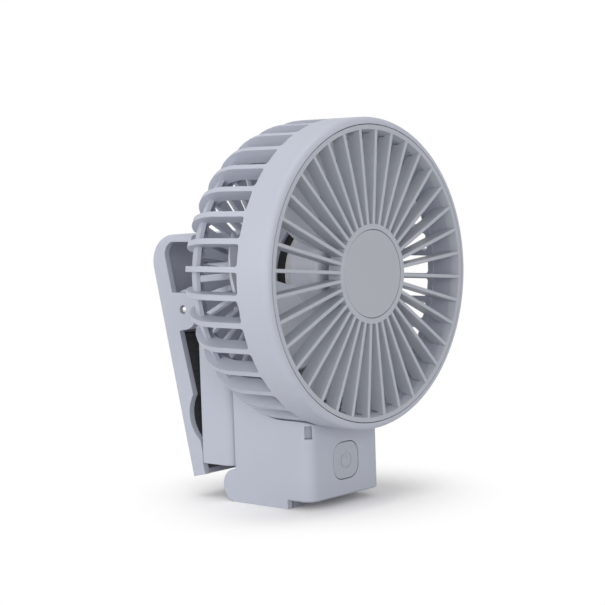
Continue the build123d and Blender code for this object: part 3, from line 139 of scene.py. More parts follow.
def lathe(bm: bmesh.types.BMesh, outline: Outline, steps: int = 40) -> None:
    """Turn an outline about Z into a closed surface.

    Args:
        bm: the mesh to add to.
        outline: (radius, height) pairs in millimetres, from one end of the axis to the other.
        steps: how many flats go round.
    """
    rings = []
    for radius, height in outline:
        if radius == 0:
            rings.append([bm.verts.new((0, 0, height * MM))])
            continue
        turns = [2 * math.pi * i / steps for i in range(steps)]
        reach = radius * MM
        rings.append([bm.verts.new((reach * math.cos(turn), reach * math.sin(turn), height * MM))
                      for turn in turns])
    for low, high in zip(rings, rings[1:]):
        for i in range(steps):
            corners = [low[i % len(low)], low[(i + 1) % len(low)],
                       high[(i + 1) % len(high)], high[i % len(high)]]
            bm.faces.new(list(dict.fromkeys(corners)))
    bmesh.ops.recalc_face_normals(bm, faces=bm.faces)


def block(bm: bmesh.types.BMesh, low: Point, high: Point) -> None:
    """Add a block between two corners.

    Args:
        bm: the mesh to add to.
        low: lowest corner in millimetres.
        high: highest corner in millimetres.
    """
    corners = [(x, y, z) for x in (low[0], high[0]) for y in (low[1], high[1])
               for z in (low[2], high[2])]
    made = [bm.verts.new(Vector(corner) * MM) for corner in corners]
    for face in BLOCK_FACES:
        bm.faces.new([made[i] for i in face])


def ease(bm: bmesh.types.BMesh, width: float) -> None:
    """Ease every edge of a mesh by a width in millimetres."""
    bmesh.ops.bevel(bm, geom=list(bm.edges), offset=width * MM, segments=2, affect="EDGES")


def to_mesh(name: str, draw: Callable[[bmesh.types.BMesh], None]) -> bpy.types.Mesh:
    """Make a mesh from a drawing function.

    Args:
        name: the mesh's name.
        draw: fills an empty mesh.

    Returns:
        The mesh.
    """
    bm = bmesh.new()
    draw(bm)
    mesh = bpy.data.meshes.new(name)
    bm.to_mesh(mesh)
    bm.free()
    return mesh


def cut_out(body: bpy.types.Mesh, tool: bpy.types.Mesh) -> bpy.types.Mesh:
    """Cut one mesh out of another.

    Args:
        body: the mesh that is cut.
        tool: the mesh that is taken away.

    Returns:
        The mesh that is left.
    """
    pair = [bpy.data.objects.new("scratch", mesh) for mesh in (body, tool)]
    for item in pair:
        bpy.context.scene.collection.objects.link(item)
    cut = pair[0].modifiers.new("cut", "BOOLEAN")
    cut.operation = "DIFFERENCE"
    cut.solver = "EXACT"
    cut.object = pair[1]
    worked_out = pair[0].evaluated_get(bpy.context.evaluated_depsgraph_get())
    left = bpy.data.meshes.new_from_object(worked_out)
    for item in pair:
        bpy.data.objects.remove(item)
    return left


def smooth(mesh: bpy.types.Mesh, angle: float = 32.0) -> None:
    """Shade a mesh smooth, with its edges sharp past an angle.

    Args:
        mesh: the mesh to shade.
        angle: the sharpest turn that still shades smooth, in degrees.
    """
    bm = bmesh.new()
    bm.from_mesh(mesh)
    bmesh.ops.remove_doubles(bm, verts=bm.verts, dist=WELD_MM * MM)
    for face in bm.faces:
        face.smooth = True
    for edge in bm.edges:
        edge.smooth = edge.is_manifold and edge.calc_face_angle(0.0) < math.radians(angle)
    bm.to_mesh(mesh)
    bm.free()


# ---- finishes ----------------------------------------------------------------------------------

class Metalness(Enum):
    """Whether a finish is a metal."""

    DIELECTRIC = 0.0
    METAL = 1.0


class Relief(Enum):
    """Regular relief of a surface, by the wave texture's type and direction."""

    NONE = ("", "")
    BANDS_ALONG_Y = ("BANDS", "Y")
    BANDS_ALONG_Z = ("BANDS", "Z")
    RINGS_ROUND_Y = ("RINGS", "Y")


@dataclass(frozen=True)
class Finish:
    """A solid finish between two close colours.

    The colour drifts slowly over the surface, a fine grain breaks the gloss, edges look eased
    by a small radius, and a regular relief may run over it all.
    """

    name: str
    light: str
    dark: str
    roughness: float
    roughness_drift: float = 0.05
    drift_mm: float = 16.0
    drift_detail: float = 3.0
    grain_mm: float = 0.3
    grain_detail: float = 2.0
    grain_height_mm: float = 0.006
    ior: float = 1.5
    metalness: Metalness = Metalness.DIELECTRIC
    coat: float = 0.0
    relief: Relief = Relief.NONE
    pitch_mm: float = 1.0
    relief_height_mm: float = 0.0
    edge_mm: float = 0.15
    edge_samples: int = 4

    def waves(self, tree: bpy.types.NodeTree, place: bpy.types.NodeSocket) -> bpy.types.NodeSocket:
        """Add the regular relief.

        Args:
            tree: the material's node tree.
            place: the surface's place in millimetres.

        Returns:
            Its height from 0 to 1.
        """
        kind, way = self.relief.value
        # Rings run round the fan's axis, so the place is taken from there.
        centred = add_node(tree, "ShaderNodeVectorMath", {"operation": "SUBTRACT"},
                           {1: (0.0, 0.0, AXIS_Z)}, {0: place}).outputs[0]
        settings = {"wave_type": kind, "wave_profile": "SIN"}
        settings["bands_direction" if kind == "BANDS" else "rings_direction"] = way
        return add_node(tree, "ShaderNodeTexWave", settings,
                        {"Scale": 2 * math.pi / (WAVE_PHASE * self.pitch_mm), "Distortion": 0.0},
                        {"Vector": centred}).outputs["Fac"]

    def build(self) -> bpy.types.Material:
        """Make the material, once.

        Returns:
            The material with this finish.
        """
        found = bpy.data.materials.get(self.name)
        if found:
            return found
        material = bpy.data.materials.new(self.name)
        material.use_nodes = True
        tree = material.node_tree
        tree.nodes.clear()
        metres = add_node(tree, "ShaderNodeTexCoord").outputs["Object"]
        place = add_node(tree, "ShaderNodeVectorMath", {"operation": "SCALE"}, {"Scale": 1 / MM},
                         {0: metres}).outputs[0]
        drift = add_node(tree, "ShaderNodeTexNoise", {},
                         {"Scale": 1 / self.drift_mm, "Detail": self.drift_detail},
                         {"Vector": place}).outputs["Fac"]
        grain = add_node(tree, "ShaderNodeTexNoise", {},
                         {"Scale": 1 / self.grain_mm, "Detail": self.grain_detail},
                         {"Vector": place}).outputs["Fac"]
        # A colour mix takes its two colours at sockets 6 and 7 and gives the result at output 2.
        colour = add_node(tree, "ShaderNodeMix", {"data_type": "RGBA"},
                          {6: from_hex(self.dark), 7: from_hex(self.light)}, {0: drift}).outputs[2]
        gloss = add_node(tree, "ShaderNodeMapRange", {},
                         {"To Min": self.roughness - self.roughness_drift,
                          "To Max": self.roughness + self.roughness_drift}, {"Value": grain}).outputs[0]
        edge = add_node(tree, "ShaderNodeBevel", {"samples": self.edge_samples},
                        {"Radius": self.edge_mm * MM}).outputs[0]
        bump = add_node(tree, "ShaderNodeBump", {},
                        {"Strength": 1.0, "Distance": self.grain_height_mm * MM},
                        {"Height": grain, "Normal": edge}).outputs[0]
        if self.relief is not Relief.NONE:
            bump = add_node(tree, "ShaderNodeBump", {},
                            {"Strength": 1.0, "Distance": self.relief_height_mm * MM},
                            {"Height": self.waves(tree, place), "Normal": bump}).outputs[0]
        shader = add_node(tree, "ShaderNodeBsdfPrincipled", {},
                          {"Metallic": self.metalness.value, "IOR": self.ior, "Coat Weight": self.coat},
                          {"Base Color": colour, "Roughness": gloss, "Normal": bump})
        add_node(tree, "ShaderNodeOutputMaterial", {}, {}, {"Surface": shader.outputs[0]})
        return material


# Injection-moulded ABS, coloured through, from a finely eroded tool: soft, with a dull highlight.
SHELL_ABS = Finish("shell_abs_moulded", "B9BDC9", "B3B7C4", 0.5)
# The same ABS on the front grille, a touch smoother where the ribs are drawn from the tool. Its colour is
# a darker copy of the shell's: painted shade for the front-facing grille.
GRILLE_ABS_PAINTED_SHADE = Finish("grille_abs_painted_shade", "B2B6BE", "ACB0B9", 0.44)
# The badge disc, a separate moulding snapped in: finer texture, evener colour.
BADGE_ABS = Finish("badge_abs_moulded", "AFB3BA", "ABAFB7", 0.4, grain_mm=0.22)
# Blades in the same plastic from a polished tool, with a faint sheen. Their pale tone is partly their own
# and partly painted light, lifting the hub and blades that lie in shade inside the cage.
BLADE_ABS_PAINTED_LIGHT = Finish("blade_abs_pale_painted_light", "DADCE4", "D0D3DC", 0.36, grain_height_mm=0.003)
# Button cap: polished a little more than the shell around it.
BUTTON_ABS = Finish("button_abs_moulded", "B2B7C0", "ACB1BB", 0.42)
# Glass-filled nylon, moulded: black and dull, with a fine mottle. The motor's base, and small parts.
BLACK_NYLON = Finish("motor_nylon_moulded", "1E1D1F", "131315", 0.42, drift_mm=3.0)
# ABS from an unpolished tool, a shade darker: the base cover, and the board's pale capacitors.
INNER_ABS = Finish("inner_abs_moulded", "A3A6B0", "9A9DA8", 0.5)
# Nitrile rubber with shallow anti-slip ribs, moulded dull.
PAD_RUBBER = Finish("pad_rubber_moulded", "4E5053", "424547", 0.7, grain_height_mm=0.02,
                    relief=Relief.BANDS_ALONG_Z, pitch_mm=2.0, relief_height_mm=0.25)
# Nickel-plated turned steel: pins and screws.
NICKEL_STEEL = Finish("nickel_plated_steel", "D9D5CF", "C4C0BC", 0.24, grain_height_mm=0.001, edge_mm=0.06,
                      metalness=Metalness.METAL)
# The yoke's drawn and plated cup, with the faint rings of its drawing tool.
YOKE_STEEL = Finish("drawn_yoke_steel", "F4F2F0", "E6E4E3", 0.46, grain_height_mm=0.001,
                    metalness=Metalness.METAL, relief=Relief.RINGS_ROUND_Y, pitch_mm=0.5,
                    relief_height_mm=0.004)
# Spring wire, cold drawn and oiled.
SPRING_STEEL = Finish("drawn_spring_steel", "9B9DA0", "838589", 0.28, grain_height_mm=0.002,
                      metalness=Metalness.METAL)
# Sintered ferrite, matt dark grey with pores: the ring magnet and the board's coil.
FERRITE = Finish("ferrite_sintered", "3C3C3F", "2E2E31", 0.62, grain_mm=0.5, grain_height_mm=0.02)
# Sintered, oil-filled bronze bearing.
BRONZE = Finish("sintered_bronze", "A67C45", "8C6838", 0.45, metalness=Metalness.METAL)
# Stacked electrical steel: the sheets' edges show as fine lines, 0.5 mm apart.
LAMINATION = Finish("electrical_steel_stacked", "7A7C80", "62646A", 0.45, metalness=Metalness.METAL,
                    relief=Relief.BANDS_ALONG_Y, pitch_mm=0.5, relief_height_mm=0.03)
# Enamelled copper wire, its turns drawn coarser than the real 0.2 mm wire so that they show.
COPPER = Finish("copper_wire_enamelled", "BC6A33", "9A5226", 0.3, metalness=Metalness.METAL, coat=0.6,
                relief=Relief.BANDS_ALONG_Y, pitch_mm=0.45, relief_height_mm=0.12)
# Glass-epoxy board under green mask.
BOARD_MASK = Finish("board_solder_mask", "1F6039", "174A2C", 0.35, coat=0.3)
# Epoxy-moulded chip packages.
CHIP_EPOXY = Finish("chip_epoxy_moulded", "26272A", "1C1D20", 0.5)
# Tinned steel and solder, bright but not polished: the socket's shell and the chips' feet.
TINNED = Finish("tinned_contacts", "D4D4D2", "B9BABB", 0.32, metalness=Metalness.METAL)
# Gold-plated contact strips.
GOLD_PLATE = Finish("gold_plated_contacts", "E3BE6A", "CFA452", 0.28, metalness=Metalness.METAL)
# Shrink film round the cell.
CELL_WRAP = Finish("cell_wrap_film", "3C6EA3", "325F90", 0.28, coat=0.4, drift_mm=6.0)

# Finish of each part that keeps its solid's own shape.
FINISH_OF: dict[str, Finish] = {
    "main_housing": SHELL_ABS,
    "box_housing": SHELL_ABS,
    "front_grille": GRILLE_ABS_PAINTED_SHADE,
    "grille_badge": BADGE_ABS,
    "impeller": BLADE_ABS_PAINTED_LIGHT,
    "rotor_yoke": YOKE_STEEL,
    "rotor_magnet": FERRITE,
    "motor_shaft": NICKEL_STEEL,
    "motor_bearings": BRONZE,
    "stator_core": LAMINATION,
    "stator_coils": COPPER,
    "motor_base": BLACK_NYLON,
    "base_cover": INNER_ABS,
    "back_cover": SHELL_ABS,
    "tact_switch": BLACK_NYLON,
    "main_board": BOARD_MASK,
    "usb_port": TINNED,
    "battery": CELL_WRAP,
    "front_jaw": SHELL_ABS,
    "jaw_plate": SHELL_ABS,
    "jaw_pad": PAD_RUBBER,
    "hinge_pin": NICKEL_STEEL,
    "hinge_cap": SHELL_ABS,
    "hinge_washers": BLACK_NYLON,
    "clip_lever": SHELL_ABS,
    "lever_pad": PAD_RUBBER,
}


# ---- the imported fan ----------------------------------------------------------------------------

@dataclass
class Fan:
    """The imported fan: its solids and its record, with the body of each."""

    nodes: dict[str, bpy.types.Object]
    record: dict

    def body_of(self, node: str) -> str:
        """Name the body that a node rides on."""
        return next(body for body, names in self.record["behaviour"]["bodies"].items() if node in names)

    def add(self, name: str, mesh: bpy.types.Mesh, finish: Finish, like: str, stands_for: bool = True,
            slot: str | None = None, twist: tuple[str, Point, Point] | None = None) -> bpy.types.Object:
        """Add a piece that rides with a node, and may stand for it.

        Args:
            name: the piece's name.
            mesh: its mesh, in the fan's frame.
            finish: its finish.
            like: the node that it rides with.
            stands_for: whether it replaces that node.
            slot: not used.
            twist: if given, the piece stays where it is drawn and rides on no body; what it holds is not
                used.

        Returns:
            The new object.
        """
        smooth(mesh)
        mesh.materials.clear()
        mesh.materials.append(finish.build())
        piece = bpy.data.objects.new(name, mesh)
        bpy.context.scene.collection.objects.link(piece)
        if twist:
            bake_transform(piece)
        else:
            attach(piece, self.body_of(like))
        if stands_for:
            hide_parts(like)
        LOG.info("built %s", name)
        return piece

    def islands(self, node: str) -> list[list[Vector]]:
        """Sort the points of a node by its separate solids.

        Args:
            node: the node's name.

        Returns:
            Each solid's points in millimetres, in the order of the solids' middles.
        """
        bm = bmesh.new()
        bm.from_mesh(self.nodes[node].data)
        bmesh.ops.remove_doubles(bm, verts=bm.verts, dist=WELD_MM * MM)
        left = set(bm.verts)
        groups = []
        while left:
            front, group = [left.pop()], []
            while front:
                vert = front.pop()
                group.append(vert.co / MM)
                near = {edge.other_vert(vert) for edge in vert.link_edges} & left
                left -= near
                front.extend(near)
            groups.append(group)
        bm.free()
        return sorted(groups, key=self.middle)

    @staticmethod
    def middle(points: Sequence[Vector]) -> tuple[float, ...]:
        """Average points, rounded so that their order stays the same in every run."""
        return tuple(round(sum(point[i] for point in points) / len(points), 3) for i in range(3))

    def dress(self) -> None:
        """Give every solid that keeps its shape its finish."""
        for name, node in self.nodes.items():
            if name in FINISH_OF:
                node.data.materials.clear()
                node.data.materials.append(FINISH_OF[name].build())
                LOG.info("dressed %s", name)


# ---- pieces ------------------------------------------------------------------------------------

@dataclass
class Screw:
    """Pan-head self-tapping screw with a cross recess and a rolled thread."""

    head_r: float = 1.6
    head_h: float = 0.8
    head_wall: float = 0.35        # the head's upright edge, as a share of its height
    crown_angles: tuple[float, ...] = (25.0, 45.0, 65.0, 80.0)
    crown_power: float = 0.6       # below 1 the crown is fuller than a round one
    shank_r: float = 0.9
    root_r: float = 0.7
    tip_share: float = 0.6         # radius of the tip, as a share of the root's
    thread_pitch: float = 0.6
    thread_foot: float = 0.4       # the first turn starts this far over the tip, in pitches
    thread_flank: float = 0.3      # height of a flank, in pitches
    thread_crest: float = 0.06     # width of a crest, in pitches
    recess_r: float = 0.9
    recess_w: float = 0.32
    recess_depth: float = 0.5
    recess_over: float = 0.5       # the cutter stands this far over the head
    rim_share: float = 0.9         # points past this share of the head's radius are on its rim
    first_turn: float = 0.5        # turn of the first screw's cross, in radians
    next_turn: float = 0.7         # and how much further each next one is turned

    def outline(self, length: float) -> list[tuple[float, float]]:
        """Work out the outline from the tip to the top of the head.

        Args:
            length: from the tip to the top of the head.

        Returns:
            (radius, height) pairs with the head's seat at height 0.
        """
        tip = self.head_h - length
        flank = self.thread_flank * self.thread_pitch
        crest = self.thread_crest * self.thread_pitch
        points = [(0.0, tip), (self.root_r * self.tip_share, tip)]
        # The thread stops at least a pitch under the head, unless the screw is very short.
        turns = max(1, int(-tip / self.thread_pitch) - 1)
        for i in range(turns):
            foot = tip + (i + self.thread_foot) * self.thread_pitch
            points += [(self.root_r, foot), (self.shank_r, foot + flank),
                       (self.shank_r, foot + flank + crest)]
        points += [(self.root_r, -flank), (self.shank_r, 0.0), (self.head_r, 0.0)]
        points += [(self.head_r, self.head_wall * self.head_h)]
        for angle in self.crown_angles:
            turn = math.radians(angle)
            lift = self.head_wall + (1 - self.head_wall) * math.sin(turn)
            points.append((self.head_r * math.cos(turn) ** self.crown_power, self.head_h * lift))
        return points + [(0.0, self.head_h)]

    def recess(self, bm: bmesh.types.BMesh) -> None:
        """Draw one arm of the cross."""
        deep, top = self.head_h - self.recess_depth, self.head_h + self.recess_over
        block(bm, (-self.recess_r, -self.recess_w / 2, deep), (self.recess_r, self.recess_w / 2, top))

    def mesh(self, length: float) -> bpy.types.Mesh:
        """Make one screw along Z, its seat at the origin.

        Args:
            length: from the tip to the top of the head.

        Returns:
            The screw's mesh.
        """
        whole = to_mesh("screw", lambda bm: lathe(bm, self.outline(length)))
        one_arm = to_mesh("recess", self.recess)
        other_arm = one_arm.copy()
        other_arm.transform(Matrix.Rotation(math.pi / 2, 4, "Z"))
        return cut_out(cut_out(whole, one_arm), other_arm)

    def spot(self, points: Iterable[Vector]) -> tuple[Matrix, float]:
        """Find where a screw's plain solid stands and which way its head looks.

        Args:
            points: the points of the solid, in millimetres.

        Returns:
            The placing matrix and the screw's length.
        """
        points = list(points)
        low = Vector([min(p[i] for p in points) for i in range(3)])
        high = Vector([max(p[i] for p in points) for i in range(3)])
        spans = high - low
        along = min(range(3), key=lambda i: abs(spans[(i + 1) % 3] - spans[(i + 2) % 3]))
        middle = (low + high) / 2
        inner = self.rim_share * self.head_r
        rim = [p[along] for p in points
               if Vector([p[i] - middle[i] for i in range(3) if i != along]).length > inner]
        sign = 1 if sum(rim) / len(rim) > middle[along] else -1
        way = Vector([sign if i == along else 0 for i in range(3)])
        seat = middle + way * (spans[along] / 2 - self.head_h)
        upright = way.to_track_quat("Z", "Y").to_matrix().to_4x4()
        return Matrix.Translation(seat * MM) @ upright, spans[along]

    def build(self, fan: Fan, node: str) -> None:
        """Put a real screw in place of each plain one of a node.

        Args:
            fan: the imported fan.
            node: the screws' node.
        """
        bm = bmesh.new()
        for i, points in enumerate(fan.islands(node)):
            place, length = self.spot(points)
            one = self.mesh(length)
            one.transform(place @ Matrix.Rotation(self.first_turn + self.next_turn * i, 4, "Z"))
            bm.from_mesh(one)
        mesh = bpy.data.meshes.new(node)
        bm.to_mesh(mesh)
        bm.free()
        fan.add(f"{node}_cross_head", mesh, NICKEL_STEEL, node)


@dataclass
class Spring:
    """Torsion spring of the clip: a close coil round the pivot pin with two straight arms."""

    coil_r: float = 3.4
    wire_r: float = 0.7
    turns: int = 6
    pitch: float = 1.55
    front_end: tuple[float, float] = (27.0, 71.6)    # (y, z) of the arms' ends
    rear_end: tuple[float, float] = (44.4, 78.1)
    steps_per_turn: int = 30
    wire_facets: int = 4

    def touch(self, end: tuple[float, float], side: int) -> float:
        """Find the angle at which a straight arm leaves the coil.

        Args:
            end: the arm's far end (y, z).
            side: which of the two tangents, 1 or -1.

        Returns:
            The angle about the pin, in radians.
        """
        reach_y, reach_z = end[0] - PIN_Y, end[1] - PIN_Z
        return math.atan2(reach_z, reach_y) + side * math.acos(self.coil_r / math.hypot(reach_y, reach_z))

    def route(self) -> list[Point]:
        """Work out the wire's middle line.

        Returns:
            Its points in millimetres, from the front arm's end to the rear arm's.
        """
        start = self.touch(self.front_end, 1)
        stop = self.touch(self.rear_end, -1)
        sweep = 2 * math.pi * self.turns + (stop - start) % (2 * math.pi)
        half = self.turns * self.pitch / 2
        steps = self.steps_per_turn * (self.turns + 1)
        points = [(-half, *self.front_end)]
        for i in range(steps + 1):
            share = i / steps
            angle = start + sweep * share
            points.append((-half + 2 * half * share, PIN_Y + self.coil_r * math.cos(angle),
                           PIN_Z + self.coil_r * math.sin(angle)))
        return points + [(half, *self.rear_end)]

    def build(self, fan: Fan) -> None:
        """Bend the wire in place of the plain solid.

        Args:
            fan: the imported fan.
        """
        curve = bpy.data.curves.new("spring_wire", "CURVE")
        curve.dimensions = "3D"
        curve.bevel_depth = self.wire_r * MM
        curve.bevel_resolution = self.wire_facets
        curve.use_fill_caps = True
        line = curve.splines.new("POLY")
        route = self.route()
        line.points.add(len(route) - 1)
        for point, place in zip(line.points, route):
            point.co = (*(c * MM for c in place), 1.0)
        scratch = bpy.data.objects.new("scratch", curve)
        mesh = bpy.data.meshes.new_from_object(scratch)
        bpy.data.objects.remove(scratch)
        arm = self.turns * self.pitch / 2 - self.wire_r
        fan.add("torsion_spring_coil", mesh, SPRING_STEEL, "torsion_spring",
                twist=("lever", (-arm, PIN_Y, PIN_Z), (arm, PIN_Y, PIN_Z)))


@dataclass
class PivotPin:
    """Steel pivot pin with crowned ends, sunk a little in the lever's walls."""

    crown_r: float = 1.22
    crown_h: float = 0.45
    crown_angles: tuple[float, ...] = (15.0, 35.0, 55.0, 75.0, 90.0)
    groove_depth: float = 0.55    # from the pin's end to the shoulder behind its crown
    chamfer: float = 0.1
    steps: int = 48

    def build(self, fan: Fan) -> None:
        """Turn the pin in place of the plain one.

        Args:
            fan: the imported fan.
        """
        low, high = (Vector(c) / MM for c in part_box("pivot_pin"))
        half, radius = (high.x - low.x) / 2, (high.z - low.z) / 2
        end = [(0.0, half)]
        for angle in self.crown_angles:
            turn = math.radians(angle)
            end.append((self.crown_r * math.sin(turn), half - self.crown_h * (1 - math.cos(turn))))
        shoulder = half - self.groove_depth
        end += [(self.crown_r, shoulder), (radius, shoulder - self.chamfer)]
        outline = end + [(r, -h) for r, h in reversed(end)]
        mesh = to_mesh("pin", lambda bm: lathe(bm, outline, self.steps))
        middle = (low + high) / 2
        mesh.transform(Matrix.Translation(middle * MM) @ Matrix.Rotation(math.pi / 2, 4, "Y"))
        fan.add("pivot_pin_crowned", mesh, NICKEL_STEEL, "pivot_pin")


@dataclass
class PowerButton:
    """Button cap with the power sign engraved: a broken ring and a bar."""

    centre_z: float = 14.4
    face_y: float = -21.7
    ring_r: float = 2.5
    line_w: float = 0.42
    depth: float = 0.16
    gap_deg: float = 70.0
    bar_low: float = 0.6
    bar_high: float = 3.1
    steps: int = 48

    def ring(self, bm: bmesh.types.BMesh) -> None:
        """Draw the broken ring as a bent bar with a four-sided section.

        Args:
            bm: the mesh to add to.
        """
        rows = []
        for i in range(self.steps + 1):
            turn = math.radians(90 + self.gap_deg / 2 + (360 - self.gap_deg) * i / self.steps)
            row = []
            for outward, back in ((-1, -1), (1, -1), (1, 1), (-1, 1)):
                reach = self.ring_r + outward * self.line_w / 2
                corner = Vector((reach * math.cos(turn), self.face_y + back * self.depth,
                                 self.centre_z + reach * math.sin(turn)))
                row.append(bm.verts.new(corner * MM))
            rows.append(row)
        for one, two in zip(rows, rows[1:]):
            for i in range(4):
                bm.faces.new((one[i], one[(i + 1) % 4], two[(i + 1) % 4], two[i]))
        bm.faces.new(rows[0])
        bm.faces.new(rows[-1])
        bmesh.ops.recalc_face_normals(bm, faces=bm.faces)

    def bar(self, bm: bmesh.types.BMesh) -> None:
        """Draw the upright bar.

        Args:
            bm: the mesh to add to.
        """
        block(bm, (-self.line_w / 2, self.face_y - self.depth, self.centre_z + self.bar_low),
              (self.line_w / 2, self.face_y + self.depth, self.centre_z + self.bar_high))
        bmesh.ops.recalc_face_normals(bm, faces=bm.faces)

    def build(self, fan: Fan) -> None:
        """Engrave the sign into a copy of the cap.

        Args:
            fan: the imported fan.
        """
        cap = fan.nodes["power_button"].data.copy()
        smooth(cap)
        engraved = cut_out(cut_out(cap, to_mesh("ring", self.ring)), to_mesh("bar", self.bar))
        fan.add("power_button_engraved", engraved, BUTTON_ABS, "power_button")


@dataclass(frozen=True)
class Chip:
    """One component on the board: its middle (x, z), its width and height, and how far it stands up."""

    name: str
    x: float
    z: float
    width: float
    height: float
    rise: float
    finish: Finish


@dataclass
class Board:
    """Components on the rear of the board, each a small block with eased edges and tinned feet."""

    face_y: float = -13.9
    chips: tuple[Chip, ...] = (
        Chip("charge_chip", -3.5, 9.0, 5.0, 4.0, 1.3, CHIP_EPOXY),
        Chip("drive_chip", -3.0, 18.5, 4.0, 3.0, 1.1, CHIP_EPOXY),
        Chip("power_coil", 4.0, 19.5, 4.0, 4.0, 2.2, FERRITE),
        Chip("capacitor_a", -9.0, 19.0, 1.6, 0.8, 0.8, INNER_ABS),
        Chip("capacitor_b", -9.0, 16.5, 1.6, 0.8, 0.8, INNER_ABS),
        Chip("resistor_a", 3.0, 8.5, 1.6, 0.8, 0.5, CHIP_EPOXY),
    )
    case_edge: float = 0.08
    foot: float = 0.35          # a foot stands out this far
    foot_share: float = 0.4     # half of its height, as a share of the component's
    foot_edge: float = 0.05

    def case(self, bm: bmesh.types.BMesh, chip: Chip) -> None:
        """Draw a component's case with eased edges.

        Args:
            bm: the mesh to add to.
            chip: the component.
        """
        block(bm, (chip.x - chip.width / 2, self.face_y, chip.z - chip.height / 2),
              (chip.x + chip.width / 2, self.face_y + chip.rise, chip.z + chip.height / 2))
        ease(bm, self.case_edge)

    def feet(self, bm: bmesh.types.BMesh, chip: Chip) -> None:
        """Draw the tinned feet at both ends of a component.

        Args:
            bm: the mesh to add to.
            chip: the component.
        """
        half = chip.height * self.foot_share
        for side in (-1, 1):
            near = chip.x + side * chip.width / 2
            far = near + side * self.foot
            block(bm, (min(near, far), self.face_y, chip.z - half),
                  (max(near, far), self.face_y + chip.rise / 2, chip.z + half))
        ease(bm, self.foot_edge)

    def build(self, fan: Fan) -> None:
        """Solder every component in place.

        Args:
            fan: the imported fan.
        """
        for chip in self.chips:
            fan.add(chip.name, to_mesh(chip.name, partial(self.case, chip=chip)), chip.finish,
                    "main_board", stands_for=False)
            fan.add(f"{chip.name}_feet", to_mesh("feet", partial(self.feet, chip=chip)), TINNED,
                    "main_board", stands_for=False, slot="steel")


@dataclass
class SocketTongue:
    """Insulated tongue of the charging socket with its gold-plated contact strips."""

    mouth_x: float = 17.5
    centre_y: float = -12.3
    centre_z: float = 13.7
    long: float = 4.6
    width: float = 6.66
    thick: float = 0.74
    inset: float = 0.76
    edge: float = 0.1
    contacts: int = 12
    contact_pitch: float = 0.5
    contact_w: float = 0.26
    contact_long: float = 1.7
    contact_rise: float = 0.03
    contact_inset: float = 0.35    # the strips end this far behind the tongue's end

    def sleeve(self, bm: bmesh.types.BMesh) -> None:
        """Draw the insulator with its eased edges.

        Args:
            bm: the mesh to add to.
        """
        end = self.mouth_x - self.inset
        block(bm, (end - self.long, self.centre_y - self.thick / 2, self.centre_z - self.width / 2),
              (end, self.centre_y + self.thick / 2, self.centre_z + self.width / 2))
        ease(bm, self.edge)
        bmesh.ops.recalc_face_normals(bm, faces=bm.faces)

    def strips(self, bm: bmesh.types.BMesh) -> None:
        """Draw the contact strips on both faces.

        Args:
            bm: the mesh to add to.
        """
        end = self.mouth_x - self.inset - self.contact_inset
        for i in range(self.contacts):
            z = self.centre_z + (i - (self.contacts - 1) / 2) * self.contact_pitch
            for side in (-1, 1):
                face = self.centre_y + side * self.thick / 2
                top = face + side * self.contact_rise
                block(bm, (end - self.contact_long, min(face, top), z - self.contact_w / 2),
                      (end, max(face, top), z + self.contact_w / 2))
        bmesh.ops.recalc_face_normals(bm, faces=bm.faces)

    def build(self, fan: Fan) -> None:
        """Fit the tongue into the socket.

        Args:
            fan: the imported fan.
        """
        fan.add("socket_tongue", to_mesh("tongue", self.sleeve), BLACK_NYLON, "usb_port",
                stands_for=False, slot="black_plastic")
        fan.add("socket_contacts", to_mesh("contacts", self.strips), GOLD_PLATE, "usb_port",
                stands_for=False, slot="copper")


# ---- studio ------------------------------------------------------------------------------------

@dataclass(frozen=True)
class Lamp:
    """A soft white square lamp that faces a point over the foot: metres and watts."""

    name: str
    place: Point
    side: float
    power: float
    aim_height: float = 0.06

    def build(self) -> None:
        """Hang the lamp."""
        data = bpy.data.lights.new(self.name, "AREA")
        data.size = self.side
        data.energy = self.power
        lamp = bpy.data.objects.new(self.name, data)
        lamp.location = self.place
        aim = Vector((0.0, 0.0, self.aim_height)) - Vector(self.place)
        lamp.rotation_euler = aim.to_track_quat("-Z", "Y").to_euler()
        bpy.context.scene.collection.objects.link(lamp)


